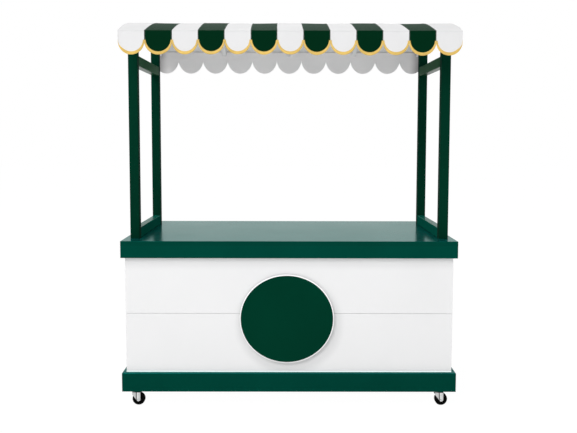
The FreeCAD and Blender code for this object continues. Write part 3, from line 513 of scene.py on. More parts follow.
class BOOTH_OT_front_valance(bpy.types.Operator):
    """Builds the front valance of striped scallops and the binding along its edge"""

    bl_idname = "booth.front_valance"
    bl_label = "Front valance"

    def execute(self, context):
        canopy = context.scene.booth_canopy
        top = fold_centre(canopy, canopy.front)[1]
        count = canopy.front_scallops
        half = canopy.width / count / 2
        x = scallop_columns(canopy.width, count, 28)
        bottom = scallop_bottom(canopy, x, count, canopy.front_bottom, half) - self.hang(canopy, x)
        z = bottom + (top - bottom) * np.linspace(0.0, 1.0, 15)[:, None]
        out = sway(canopy, FRONT_SWAY, x, top - z) + seam_rise(canopy, x)
        valance = surface("front_valance", [stacked(sewn(canopy, x), -canopy.front - out, z)],
                          ["striped_cloth", "lining"], [stacked(x, z - top)])
        thicken(valance, canopy.cloth, lined=True)
        fit(valance, "cloth_white", "valance_white", "valance_green")
        binding = self.binding(canopy, half, top)
        return {"FINISHED"}

    def hang(self, canopy, x):
        """How far the scallops hang below their even line, smoothly from each to the next."""
        pitch = canopy.width / canopy.front_scallops
        middles = -canopy.width / 2 + pitch * (np.arange(len(SCALLOP_DROPS)) + 0.5)
        return np.interp(x, middles, SCALLOP_DROPS)

    def binding(self, canopy, half, top):
        """Tape folded round the scalloped edge, wide below and narrow at the cusps.

        Along each scallop run an outer line, a half circle with short straight ends, and an
        inner line, an arc about a higher centre. Across, the tape goes from the inner line on
        the front face, over the edge, to the inner line on the back. It tapers off towards
        both ends of the canopy.
        """
        level = canopy.front_bottom + half
        low_in = half - canopy.binding_low
        shift = ((half - canopy.binding_tip) ** 2 - low_in ** 2) / (2.0 * low_in)
        inner = low_in + shift
        start = math.asin((canopy.binding_rise - shift) / inner)
        turn = np.linspace(-math.pi / 2, math.pi / 2, 45)
        inner_turn = turn / (math.pi / 2) * (math.pi / 2 + start)
        inner_x = inner * np.sin(inner_turn)
        inner_z = shift - inner * np.cos(inner_turn)
        outer_x = half * np.sin(turn) * 0.997  # keeps it off the next scallop's tape
        outer_z = -half * np.cos(turn)
        outer_z[[0, -1]] = canopy.binding_rise
        thick = canopy.binding
        back = -canopy.cloth - thick
        # Share of the way from the inner line to the edge, height over the cloth's face, and
        # how far beyond the edge
        across = ((0.00, 0.0, 0.0), (0.04, 0.75 * thick, 0.0), (0.15, thick, 0.0),
                  (0.50, 1.15 * thick, 0.0), (0.88, thick, 0.0), (1.0, 0.5 * thick, 0.0003),
                  (1.0, -canopy.cloth / 2, 0.0008), (1.0, back + 0.5 * thick, 0.0003),
                  (0.88, back, 0.0), (0.50, back - 0.15 * thick, 0.0), (0.15, back, 0.0),
                  (0.04, back + 0.25 * thick, 0.0), (0.00, -canopy.cloth, 0.0))
        part, proud, beyond = np.array(across).T[:, :, None]
        local_x = inner_x + (outer_x - inner_x) * part + beyond * np.sin(turn)
        local_z = inner_z + (outer_z - inner_z) * part - beyond * np.cos(turn)
        run = run_along(outer_x, outer_z)
        reach = run_along(part[:, 0] * canopy.binding_low, proud[:, 0])[:, None]
        grids = []
        uvs = []
        last = canopy.front_scallops - 1
        for number in range(canopy.front_scallops):
            middle = -canopy.width / 2 + half * (2 * number + 1)
            taper = 1.0
            if number in (0, last):
                away = math.pi / 2 + (turn if number == 0 else -turn)
                whole = smoothstep(away / canopy.binding_taper)
                taper = canopy.binding_end + (1.0 - canopy.binding_end) * whole
            x = middle + outer_x + (local_x - outer_x) * taper
            z = level + outer_z + (local_z - outer_z) * taper - self.hang(canopy, x)
            stand = sway(canopy, FRONT_SWAY, x, top - z) + seam_rise(canopy, x)
            grids.append(stacked(sewn(canopy, x), -canopy.front - stand - proud, z)[::-1])
            uvs.append(stacked(run + number, reach)[::-1])
        binding = surface("valance_tape", grids, ["gold_tape"], uvs, sharp=60)
        return fit(binding, "cloth_gold", "valance_binding")


class BOOTH_OT_rear_valance(bpy.types.Operator):
    """Builds the plain rear valance with its hem and its inner layer"""

    bl_idname = "booth.rear_valance"
    bl_label = "Rear valance"

    def execute(self, context):
        canopy = context.scene.booth_canopy
        top = fold_centre(canopy, canopy.rear)[1]
        count = canopy.rear_scallops
        x = scallop_columns(canopy.width, count, 30)
        bottom = scallop_bottom(canopy, x, count, canopy.rear_bottom, canopy.rear_scallop)
        z = top + (bottom - top) * smoothstep(np.linspace(0.0, 1.0, 21))[:, None]
        drop = top - z
        inside = (canopy.hem - self.to_edge(canopy, x, z)) / canopy.hem_edge
        hem = canopy.hem_rise * smoothstep(inside)
        out = sway(canopy, REAR_SWAY, x, drop) + hem
        valance = surface("rear_valance", [stacked(x, canopy.rear + out, z)],
                          ["lining", "lining"], [stacked(x, -drop)])
        thicken(valance, canopy.cloth, lined=True)
        fit(valance, "cloth_white", "valance_rear")
        self.lining(canopy, x)
        return {"FINISHED"}

    def to_edge(self, canopy, x, z):
        """About how far a point lies inwards from the scallops' ovals."""
        off = across_scallop(canopy, x, canopy.rear_scallops)
        low = np.minimum(z - canopy.rear_bottom - canopy.rear_scallop, 0.0)
        half = canopy.width / canopy.rear_scallops / 2
        return (1.0 - np.hypot(off, low / canopy.rear_scallop)) * half

    def lining(self, canopy, x):
        """The inner layer: from the roof's underside it hangs in front of the eave tube.

        Below the tube it eases over to the outer layer and ends along the same scallops.
        """
        tube_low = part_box("eave_tube_rear")[0]
        gap = canopy.lining_gap
        near = tube_low.y - gap
        far = canopy.rear - canopy.cloth - gap
        top = roof_under(canopy, near) - canopy.sag - gap
        bottom = scallop_bottom(canopy, x, canopy.rear_scallops, canopy.rear_bottom + gap,
                                canopy.rear_scallop)
        z = top + (bottom - top) * smoothstep(np.linspace(0.0, 1.0, 25))[:, None]
        lean = smoothstep((tube_low.z - gap - z) / canopy.lining_lean)
        out = far + sway(canopy, REAR_SWAY, x, canopy.eave - z)
        grid = stacked(x, near + (out - near) * lean, z)
        # its finish darkens its ends by the posts: painted shade
        inner = surface("rear_lining", [grid[::-1]], ["end_lining"], [stacked(x, z - top)[::-1]])
        thicken(inner, canopy.lining)
        fit(inner, "cloth_white")


class BOOTH_OT_pocket(bpy.types.Operator):
    """Builds the cloth pocket that holds the front eave tube, between the arches"""

    bl_idname = "booth.pocket"
    bl_label = "Tube pocket"

    def execute(self, context):
        canopy = context.scene.booth_canopy
        low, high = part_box("eave_tube_front")
        y, z = self.section(canopy, -high.y - canopy.lining, low.z - canopy.lining)
        run = run_along(y, z)
        stops = arch_line() * np.array(ARCH_SHARES)
        starts = np.append(low.x + canopy.pocket_end, stops + canopy.pocket_gap)
        ends = np.append(stops - canopy.pocket_gap, high.x - canopy.pocket_end)
        swell = canopy.pocket_puff * np.sin(math.pi * run / run[-1])[:, None]
        grids = []
        uvs = []
        for start, end in zip(starts, ends):
            x = np.linspace(start, end, max(3, int((end - start) / 0.02)))
            puff = np.abs(swell * waves(x, PUFF_WAVES))
            grids.append(stacked(x, puff - y[:, None], z[:, None]))
            uvs.append(stacked(x, run[:, None]))
        pocket = surface("front_pocket", grids, ["lining"], uvs)
        thicken(pocket, canopy.lining)
        fit(pocket, "cloth_white")
        return {"FINISHED"}

    def section(self, canopy, inner, under):
        """From the roof's underside down the tube's inner face, under the tube, and down.

        These are three straight runs with rounded corners.
        """
        reach = canopy.front - canopy.cloth
        top = roof_under(canopy, inner)
        corner = canopy.pocket_corner
        out, up = (corner * part for part in quarter(6))
        tail = canopy.pocket_tail * np.linspace(0.0, 1.0, 4)[1:]
        y = np.concatenate([[inner, inner], inner + out, reach - up, np.full(3, reach)])
        z = np.concatenate([[top, (top + under) / 2], under + up, under - out,
                            under - corner - tail])
        return y, z


# Tubes
def rounded_square(half_a, half_b, corner):
    """A closed outline with round corners: for each corner, an arc of evenly spaced points."""
    turn = np.linspace(0.0, math.pi / 2, 5)
    outline = []
    for number, (sa, sb) in enumerate(((1, 1), (-1, 1), (-1, -1), (1, -1))):
        spread = turn + number * math.pi / 2
        outline.append(stacked(sa * (half_a - corner) + corner * np.cos(spread),
                               sb * (half_b - corner) + corner * np.sin(spread)))
    return np.concatenate(outline)


def tube(name, packed, along, build, finish, slot):
    """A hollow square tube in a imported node's box, open at both ends along an axis.

    Its outline is carried from end to end outside, and back inside, as one closed surface.
    """
    low, high = box(packed)
    middle = (low + high) / 2
    half = (high - low) / 2
    sides = [(along + 1) % 3, (along + 2) % 3]
    chamfer, end = build.tube_chamfer, half[along]
    smallest = 0.0005  # the least radius of the inner corners
    outer, trimmed, inner = (
        rounded_square(*(half[side] - inset for side in sides),
                       max(build.tube_corner - inset, smallest))
        for inset in (0.0, chamfer, build.tube_wall))
    rings = ((trimmed, -end), (outer, chamfer - end), (outer, end - chamfer), (trimmed, end),
             (inner, end), (inner, -end))
    grid = np.zeros((len(rings), len(outer), 3))
    for row, (outline, level) in enumerate(rings):
        grid[row][:, sides] = middle[sides] + outline
        grid[row, :, along] = middle[along] + level
    piece = surface(name, [grid], [finish], wrap_rows=True, wrap_columns=True)
    return fit(flatten(piece), slot, packed)


class BOOTH_OT_frames(bpy.types.Operator):
    """Builds the posts, rails and eave tubes as hollow tubes with rounded corners"""

    bl_idname = "booth.frames"
    bl_label = "Posts, rails and tubes"

    def execute(self, context):
        build = context.scene.booth_build
        for end in ENDS:
            for side in SIDES:
                tube(f"{end}_{side}_post", f"post_{end}_{side}", 2, build, "post_green",
                     "post_green")
            tube(f"{end}_eave_tube", f"eave_tube_{end}", 0, build, "frame_white",
                 "frame_white")
        # the rails' finishes are the posts' coat in lighter greens, as painted light
        for level in ("lower", "upper"):
            for side in SIDES:
                tube(f"{level}_{side}_rail", f"{level}_rail_{side}", 1, build,
                     f"{level}_green", "post_green")
        return {"FINISHED"}


# Sign
def oval_plate(name, build, finish, low, high, half_x, half_z, hole):
    """An upright oval plate, or a ring where there is a hole, with rounded edges.

    A profile of insets from the edge and depths is carried round the oval. A plate closes
    at its middle with rings that shrink to a point.
    """
    middle = (low + high) / 2
    front, back = low[1], high[1]
    edge = build.sign_edge
    out, up = (edge * part for part in quarter(4))
    profile = [(up, front + out), (out, back - up)]
    if hole:
        profile.insert(0, ((hole, hole, hole - edge * 0.3, hole - edge),
                           (back, front + edge, front + edge * 0.3, front)))
    else:
        insets = np.linspace(1.0, 0.0, 13)[:-1] * (half_x - edge) + edge
        profile.insert(0, (insets, np.full(12, front)))
        profile.append((insets[::-1], np.full(12, back)))
    inset, depth = np.hstack([np.array(part) for part in profile])[:, :, None]
    spin = np.linspace(0.0, 2.0 * math.pi, 161)[:-1]
    shrink_z = inset if hole else inset * half_z / half_x
    grid = stacked(middle[0] + (half_x - inset) * np.cos(spin), depth,
                   middle[2] + (half_z - shrink_z) * np.sin(spin))
    return flatten(surface(name, [grid], [finish], wrap_rows=bool(hole), wrap_columns=True))


class BOOTH_OT_sign(bpy.types.Operator):
    """Builds the bare sign board and its pale rim"""

    bl_idname = "booth.sign"
    bl_label = "Sign"

    def execute(self, context):
        build = context.scene.booth_build
        low, high = box("sign_board")
        half_x, _, half_z = (high - low) / 2
        board = oval_plate("sign_face", build, "sign_green", low, high, half_x, half_z, 0.0)
        fit(board, "sign_green", "sign_board")
        low, high = box("sign_rim")
        rim_x, _, rim_z = (high - low) / 2 + build.rim_more
        rim = oval_plate("sign_edge", build, "sign_white", low, high, rim_x, rim_z,
                         rim_x - half_x)
        fit(rim, "sign_white", "sign_rim")
        return {"FINISHED"}


# Counter
class BOOTH_OT_counter(bpy.types.Operator):
    """Rounds the boards of the counter and builds its plinth and sealing bead"""

    bl_idname = "booth.counter"
    bl_label = "Counter"

    def execute(self, context):
        build = context.scene.booth_build
        for side in ("front", *SIDES):
            for level in ("lower", "upper"):
                soften(frame["nodes"][f"{side}_board_{level}"], build.board_edge)
        self.plinth(build)
        self.bead(build)
        return {"FINISHED"}

    def bead(self, build):
        """A sealing bead where the front boards meet the plinth's top.

        Its section is a quarter as deep as it is tall, and runs straight from side to side.
        """
        low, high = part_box("front_board_lower")
        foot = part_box("plinth_front")[1].z
        y = low.y - build.bead * np.array([0.25, 0.24, 0.06, 0.0, 0.0])
        z = foot + build.bead * np.array([0.0, 0.2, 0.95, 1.0, 0.0])
        grid = stacked(np.linspace(low.x, high.x, 3), y[:, None], z[:, None])
        # its finish is pale and gives off light: a painted highlight along the boards' foot
        bead = surface("foot_bead", [grid], ["bead_white"], wrap_rows=True)
        fit(bead, "white_board")

    def plinth(self, build):
        """Four boards with a rounded upper edge, mitred at the corners.

        The boards' section, each point an inset from the outer face and a height, is carried
        round the four corners.
        """
        low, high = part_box("plinth_front")
        foot = build.plinth_foot
        out, up = (build.plinth_round * part for part in quarter(7))
        inset = np.concatenate([[foot, 0.0], out, [build.plinth_board, build.plinth_board]])
        level = np.concatenate([[low.z, low.z + foot], high.z - up, [high.z, low.z]])
        level[[0, 1, -1]] -= build.plinth_more
        corners = np.array(((-1, -1), (1, -1), (1, 1), (-1, 1)))[:, None, :]
        reach = np.array((high.x + build.plinth_more, -low.y))
        around = corners * (reach - inset[None, :, None])
        grid = np.dstack([around, np.broadcast_to(level, around.shape[:2])])
        plinth = surface("plinth_boards", [grid[:, ::-1]], ["plinth_green"], wrap_rows=True,
                         wrap_columns=True)
        fit(flatten(plinth), "edge_green", "plinth_front", "plinth_rear", "plinth_left",
            "plinth_right")


class BOOTH_OT_casters(bpy.types.Operator):
    """Softens the casters' pressed forks and builds their moulded wheels"""

    bl_idname = "booth.casters"
    bl_label = "Casters"

    def execute(self, context):
        build = context.scene.booth_build
        for tag in [f"{end}_{side}" for end in ENDS for side in SIDES]:
            fork = frame["nodes"][f"fork_{tag}"]
            soften(fork, build.sheet_edge)
            fork.material_slots[0].material = FINISHES["fork_zinc"]
            soften(frame["nodes"][f"axle_{tag}"], build.sheet_edge)
            self.wheel(tag, build)
        # the plates' zinc is darkened as painted shade under the plinth
        frame["nodes"]["caster_plates"].material_slots[0].material = FINISHES["plate_zinc"]
        return {"FINISHED"}

    def wheel(self, tag, build):
        """A round section carried about the axle: boss, dished web and rounded tread.

        The section is pairs of radius and distance from the wheel's middle plane, on one side
        from the bore to the tread, then mirrored.
        """
        low, high = box(f"wheel_{tag}")
        middle = (low + high) / 2
        radius, face, _ = (high - low) / 2
        half, edge, ease = build.tread / 2, build.wheel_round, build.wheel_ease
        ring, boss, web = (build.ring_share * radius, build.boss_share * radius,
                           build.web_share * half)
        side = np.array([(build.wheel_bore, face), (boss - ease, face), (boss, face - ease),
                         (boss + ease, web + 2 * ease), (boss + 3 * ease, web),
                         (ring - 3 * ease, web), (ring - ease, web + 2 * ease),
                         (ring, half - ease), (ring + ease, half)])
        out, up = (edge * part for part in quarter(7))
        side = np.vstack([side, stacked(radius - up, half - out)])
        reach, aside = np.vstack([side, side[::-1] * (1.0, -1.0)]).T
        spin = np.linspace(0.0, 2.0 * math.pi, 73)[:-1][:, None]
        grid = stacked(middle[0] + reach * np.cos(spin), middle[1] + aside,
                       middle[2] + reach * np.sin(spin))
        wheel = surface(f"{tag}_wheel", [grid], ["wheel_black"], wrap_rows=True,
                        wrap_columns=True)
        fit(wheel, "wheel_black", f"wheel_{tag}", body=f"roller_{tag}")


# Finishes
def feed(tree, target, value):
    """Links a socket from another one, or sets it to a plain value."""
    if isinstance(value, bpy.types.NodeSocket):
        tree.links.new(value, target)
    else:
        target.default_value = value


def new_group(name, inputs, outputs):
    """An empty shader group, with the sockets to take from and those to feed.

    A socket is a colour where its default is a tuple, and a number otherwise.
    """
    tree = bpy.data.node_groups.new(name, "ShaderNodeTree")
    for direction, sockets in (("INPUT", inputs), ("OUTPUT", outputs)):
        for label, default in sockets.items():
            kind = "NodeSocketColor" if isinstance(default, tuple) else "NodeSocketFloat"
            socket = tree.interface.new_socket(name=label, in_out=direction, socket_type=kind)
            socket.default_value = default
    given = tree.nodes.new("NodeGroupInput").outputs
    return tree, given, tree.nodes.new("NodeGroupOutput").inputs


def node(tree, kind, settings=None, **inputs):
    """The outputs of a node with its settings and inputs, which go by name or as _0, _1."""
    made = tree.nodes.new(f"ShaderNode{kind}")
    for name, value in (settings or {}).items():
        setattr(made, name, value)
    for name, value in inputs.items():
        number = name[1:]
        feed(tree, made.inputs[int(number) if number.isdigit() else name.replace("_", " ")],
             value)
    return made.outputs


def use(tree, effect, **inputs):
    """Places a group in a material, with its own values, and gives its outputs."""
    made = tree.nodes.new("ShaderNodeGroup")
    made.node_tree = EFFECTS[effect]
    for name, value in inputs.items():
        feed(tree, made.inputs[name], value)
    return made.outputs


def math_node(tree, operation, first, second=0.0, third=0.0):
    """The result of one sum, from sockets or numbers."""
    return node(tree, "Math", {"operation": operation}, _0=first, _1=second, _2=third)[0]


def times(tree, first, second):
    """The product of two values."""
    return math_node(tree, "MULTIPLY", first, second)


def mix_colours(tree, amount, first, second):
    """A colour between two others."""
    return node(tree, "Mix", {"data_type": "RGBA", "clamp_factor": True}, _0=amount, _6=first,
                _7=second)[2]


def ramp(tree, value, start, end, low=0.0, high=1.0, shape="LINEAR"):
    """Goes from low to high as a value goes from start to end, and no further."""
    return node(tree, "MapRange", {"interpolation_type": shape}, Value=value, From_Min=start,
                From_Max=end, To_Min=low, To_Max=high)[0]


def noise(tree, where, scale, detail, **more):
    """Smooth noise."""
    return node(tree, "TexNoise", Vector=where, Scale=scale, Detail=detail, **more)[0]


def in_object(tree):
    """Places in object space."""
    return node(tree, "TexCoord")["Object"]


def on_cloth(tree):
    """Places on the cloth in metres, across it and down it."""
    return node(tree, "UVMap", {"uv_map": CLOTH_UV})[0]


def axes_of(tree, where):
    """The three parts of a place or a direction."""
    return node(tree, "SeparateXYZ", Vector=where)


def mottle_group():
    """Slow variation between two colours, by noise in object space."""
    grey = (0.5, 0.5, 0.5, 1.0)
    tree, given, result = new_group("Mottle", {"Colour": grey, "Other": grey, "Scale": 3.0},
                                    {"Colour": grey, "Value": 0.5})
    clouds = noise(tree, in_object(tree), given["Scale"], 4.0, Roughness=0.55)
    value = ramp(tree, clouds, 0.3, 0.7)
    feed(tree, result["Colour"], mix_colours(tree, value, given["Colour"], given["Other"]))
    feed(tree, result["Value"], value)
    return tree


def grain_group():
    """Fine height of sprayed or rolled paint: two noises, one ten times as fine."""
    tree, given, result = new_group("Fine grain", {"Scale": 300.0, "Coarse": 0.6},
                                    {"Height": 0.5})
    where = in_object(tree)
    fine = noise(tree, where, given["Scale"], 2.0)
    broad = noise(tree, where, times(tree, given["Scale"], 0.1), 2.0)
    feed(tree, result["Height"],
         math_node(tree, "ADD", fine, times(tree, broad, given["Coarse"])))
    return tree


def weave_group():
    """Plain weave along the cloth's own UV: crossed sine threads, and slubs by noise."""
    tree, given, result = new_group("Weave", {"Threads": 420.0}, {"Height": 0.5, "Slub": 0.5})
    where = on_cloth(tree)
    parts = axes_of(tree, where)
    turns = times(tree, given["Threads"], 2 * math.pi)
    across, down = (math_node(tree, "SINE", times(tree, parts[axis], turns))
                    for axis in (0, 1))
    feed(tree, result["Height"], times(tree, across, down))
    feed(tree, result["Slub"], noise(tree, where, 90.0, 3.0))
    return tree


def stripe_group():
    """Two colours in turn across the cloth, with each boundary's distance for its stitches."""
    tree, given, result = new_group(
        "Stripes", {"First": (1, 1, 1, 1), "Second": (0, 0, 0, 1), "Pitch": 0.1, "Width": 1.0},
        {"Colour": (1, 1, 1, 1), "Off": 0.0})
    from_end = math_node(tree, "ADD", axes_of(tree, on_cloth(tree))[0],
                         times(tree, given["Width"], 0.5))
    count = math_node(tree, "DIVIDE", from_end, given["Pitch"])
    second = math_node(tree, "GREATER_THAN", math_node(tree, "FLOORED_MODULO", count, 2.0), 1.0)
    nearest = math_node(tree, "SUBTRACT", count, math_node(tree, "ROUND", count))
    feed(tree, result["Colour"], mix_colours(tree, second, given["First"], given["Second"]))
    feed(tree, result["Off"],
         times(tree, math_node(tree, "ABSOLUTE", nearest), given["Pitch"]))
    return tree


def stitch_group():
    """A row of stitches: 1 on the thread, where Off is near the row and Along repeats."""
    tree, given, result = new_group(
        "Stitches", {"Off": 0.0, "Row": 0.004, "Along": 0.0, "Stitch": 0.0045, "Thread": 0.001,
                     "Share": 0.68}, {"Thread": 0.0})
    apart = math_node(tree, "ABSOLUTE",
                      math_node(tree, "SUBTRACT", given["Off"], given["Row"]))
    near = math_node(tree, "LESS_THAN", apart, times(tree, given["Thread"], 0.5))
    part = math_node(tree, "FRACT", math_node(tree, "DIVIDE", given["Along"], given["Stitch"]))
    feed(tree, result["Thread"],
         times(tree, near, math_node(tree, "LESS_THAN", part, given["Share"])))
    return tree


def brush_group():
    """Long fine scratches: noise stretched along one axis of object space."""
    tree, given, result = new_group("Brushed", {"Scale": 500.0}, {"Value": 0.5})
    stretched = node(tree, "Mapping", Vector=in_object(tree), Scale=(1.0, 1.0, 0.06))[0]
    feed(tree, result["Value"], noise(tree, stretched, given["Scale"], 3.0))
    return tree


def wood_group():
    """Growth rings along the boards: bands bent by noise stretched along the length."""
    tree, given, result = new_group(
        "Wood", {"Early": (0.6, 0.4, 0.2, 1), "Late": (0.4, 0.2, 0.1, 1)},
        {"Colour": (0.6, 0.4, 0.2, 1), "Height": 0.5})
    stretched = node(tree, "Mapping", Vector=in_object(tree), Scale=(1.0, 0.12, 0.12))[0]
    bands = math_node(tree, "FRACT", times(tree, noise(tree, stretched, 14.0, 4.0), 9.0))
    fibre = noise(tree, stretched, 260.0, 2.0)
    late = math_node(tree, "MULTIPLY_ADD", fibre, 0.35, times(tree, bands, 0.5))
    feed(tree, result["Colour"], mix_colours(tree, late, given["Early"], given["Late"]))
    feed(tree, result["Height"], late)
    return tree


def painted_shade_group():
    """Painted shade: darker where something stands near, a smooth step in a value from Start to
    Full.
    """
    tree, given, result = new_group(
        "Shelter", {"Colour": (1, 1, 1, 1), "Value": 0.0, "Start": 0.0, "Full": 1.0,
                    "Amount": 0.1}, {"Colour": (1, 1, 1, 1)})
    shade = ramp(tree, given["Value"], given["Start"], given["Full"], 0.0, given["Amount"],
                 "SMOOTHSTEP")
    feed(tree, result["Colour"], mix_colours(tree, shade, given["Colour"], BLACK))
    return tree


def blank_finish(name, **sockets):
    """A material with only its shader, whose even values are set on the shader's sockets."""
    finish = bpy.data.materials.new(name)
    finish.use_nodes = True
    shader = finish.node_tree.nodes["Principled BSDF"]
    for socket, value in sockets.items():
        shader.inputs[socket.replace("_", " ")].default_value = value
    FINISHES[name] = finish
    return finish.node_tree, shader


def dress(tree, shader, shade, gloss, relief):
    """Feeds a shader its colour, its roughness and its relief.

    Gloss is a value and the roughness at its 0 and at its 1. Relief is a height, its strength
    and its distance.
    """
    feed(tree, shader.inputs["Base Color"], shade)
    value, low, high = gloss
    feed(tree, shader.inputs["Roughness"], ramp(tree, value, 0.0, 1.0, low, high))
    height, strength, distance = relief
    feed(tree, shader.inputs["Normal"],
         node(tree, "Bump", Strength=strength, Distance=distance, Height=height)[0])


def deeper(base, share_dark=0.0):
    """A colour moved a share of the way to black, with full alpha."""
    return tuple(part * (1.0 - share_dark) for part in base) + (1.0,)


def mottled(tree, base, dark, scale):
    """A colour that varies slowly with a darker one."""
    return use(tree, "Mottle", Colour=deeper(base), Other=deeper(base, dark), Scale=scale)


def paint(name, base, rough, level, grain=350.0, relief=0.00006, dark=0.14, tint=None):
    """Sprayed, rolled or laminated colour: slow mottle, fine grain, uneven gloss.

    Deep colours tint what they reflect straight on, and reflect evenly at a slant.
    """
    if tint is None:
        tint = tuple(part / max(base) for part in base)
    tree, shader = blank_finish(name, Specular_IOR_Level=level, Specular_Tint=(*tint, 1.0))
    colours = mottled(tree, base, dark, 2.5)
    heights = use(tree, "Fine grain", Scale=grain)
    dress(tree, shader, colours["Colour"], (colours["Value"], rough * 0.9, rough * 1.12),
          (heights["Height"], 0.6, relief))
    return tree, shader, colours["Colour"]


def powder_coat(name, base, level):
    """Powder coat, which flowed to a gloss on level faces and stayed duller on upright ones."""
    tree, shader, _ = paint(name, base, 0.5, level, grain=900.0, tint=(1.0, 1.0, 1.0))
    shader.inputs["Coat Roughness"].default_value = 0.25
    upright = axes_of(tree, node(tree, "TexCoord")["Normal"])[2]
    feed(tree, shader.inputs["Coat Weight"],
         ramp(tree, math_node(tree, "ABSOLUTE", upright), 0.6, 0.95, 0.0, 0.5))


def laminate(name, looks, top, below):
    """Gloss laminate: a top face of lighter green, painted light falling on it, and the edges'
    own green from a depth below it.

    A share of metal in the top face gives its gloss at a slant some of its green.
    """
    tree, shader, green = paint(name, looks.edge_green, 0.19, 0.006, grain=60.0,
                                relief=0.00002, tint=(0.78, 1.0, 0.97))
    # painted light: the top face's lighter green
    lighter = mottled(tree, looks.top_green_painted_light, 0.1, 1.6)["Colour"]
    upper = ramp(tree, axes_of(tree, in_object(tree))[2], top - below, top - 0.3 * below)
    feed(tree, shader.inputs["Base Color"], mix_colours(tree, upper, green, lighter))
    feed(tree, shader.inputs["Metallic"], times(tree, upper, 0.44))


def with_painted_glow(name, base, glow):
    """Pale plastic that also gives off light of its own colour: a painted glow, though it is no
    lamp.
    """
    tree, shader, colour = paint(name, base, 0.4, 0.3, grain=800.0, dark=0.01)
    shader.inputs["Emission Color"].default_value = (*base, 1.0)
    shader.inputs["Emission Strength"].default_value = glow
    return tree, shader, colour


def rim_finish_with_painted_highlight(name, looks):
    """The sign's rim, with a painted highlight that gives off more light the higher it is."""
    tree, shader, colour = with_painted_glow(name, looks.board_white, looks.rim_painted_glow)
    low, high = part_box("sign_rim")
    upper = ramp(tree, axes_of(tree, in_object(tree))[2], low.z, high.z)
    feed(tree, shader.inputs["Emission Color"], mix_colours(tree, upper, BLACK, colour))


def board_finish_with_painted_shade(name, looks):
    """Painted boards, with painted shade under the worktop and a painted shadow of the sign.

    The sign's painted shadow is its own oval, moved down and to the right, and it fades out
    over its next 54 mm. The worktop's painted shade starts 6 mm under its edge and
    reaches 75 mm down.
    """
    tree, shader, shade = paint(name, looks.board_white, 0.5, 0.2, grain=500.0, dark=0.02)
    low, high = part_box("sign_rim")
    middle, half = (low + high) / 2, (high - low) / 2
    to_right, down, fades_out = 0.0135, 0.038, 1.22
    where = axes_of(tree, in_object(tree))
    squares = []
    for axis, moved in ((0, to_right), (2, -down)):
        off = math_node(tree, "SUBTRACT", where[axis], middle[axis] + moved)
        part = math_node(tree, "DIVIDE", off, half[axis])
        squares.append(times(tree, part, part))
    reach = math_node(tree, "SQRT", math_node(tree, "ADD", *squares))
    # painted shadow of the sign, cast down and to the right
    shade = use(tree, "Shelter", Colour=shade, Value=reach, Start=fades_out, Full=1.0,
                Amount=looks.sign_painted_shadow)["Colour"]
    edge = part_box("edge_front")[0].z
    lowest, whole, weaker, gone = (edge - below for below in (0.075, 0.02, 0.022, 0.006))
    amount = ramp(tree, where[2], weaker, gone, looks.top_painted_shade, 0.0)
    # painted shade under the worktop's edge
    shade = use(tree, "Shelter", Colour=shade, Value=where[2], Start=lowest, Full=whole,
                Amount=amount)["Colour"]
    feed(tree, shader.inputs["Base Color"], shade)


def cloth_finish(name, base, canopy, other=None, ends=0.0):
    """Coated cloth, plain or striped: weave, slubs and, at the stripes' seams, stitches.

    Ends is how far painted shade darkens the cloth by the posts; it starts 105 mm
    from each end.
    """
    tree, shader = blank_finish(name, Specular_IOR_Level=0.1,
                                Specular_Tint=(0.05, 0.05, 0.05, 1.0))
    weave = use(tree, "Weave")
    shade = mottled(tree, base, 0.035, 5.0)["Colour"]
    height = weave["Height"]
    where = axes_of(tree, on_cloth(tree))
    if other is not None:
        stripes = use(tree, "Stripes", First=shade, Second=deeper(other),
                      Pitch=canopy.width / canopy.front_scallops, Width=canopy.width)
        thread = use(tree, "Stitches", Off=stripes["Off"], Along=where[1])["Thread"]
        shade = mix_colours(tree, times(tree, thread, 0.4), stripes["Colour"],
                            deeper(base, 0.45))
        height = math_node(tree, "ADD", height, thread)
    # painted shade near the posts
    if ends:
        starts, whole = (canopy.width / 2 - inwards for inwards in (0.105, 0.03))
        shade = use(tree, "Shelter", Colour=shade, Start=starts, Full=whole,
                    Value=math_node(tree, "ABSOLUTE", where[0]), Amount=ends)["Colour"]
    dress(tree, shader, shade, (weave["Slub"], 0.55, 0.75), (height, 0.35, 0.00012))


def tape_finish(name, base):
    """Satin binding tape: ribs across it, a row of stitches and slow change of tone."""
    tree, shader = blank_finish(name, Specular_IOR_Level=0.3, Sheen_Weight=0.1,
                                Sheen_Roughness=0.4)
    slow = mottled(tree, base, 0.22, 26.0)
    where = axes_of(tree, on_cloth(tree))
    ribs = math_node(tree, "SINE", times(tree, where[0], 5200.0))
    thread = use(tree, "Stitches", Off=where[1], Row=0.0028, Along=where[0])["Thread"]
    shade = mix_colours(tree, times(tree, thread, 0.5), slow["Colour"], deeper(base, 0.5))
    dress(tree, shader, shade, (slow["Value"], 0.4, 0.55),
          (math_node(tree, "MULTIPLY_ADD", ribs, 0.3, thread), 0.4, 0.0001))


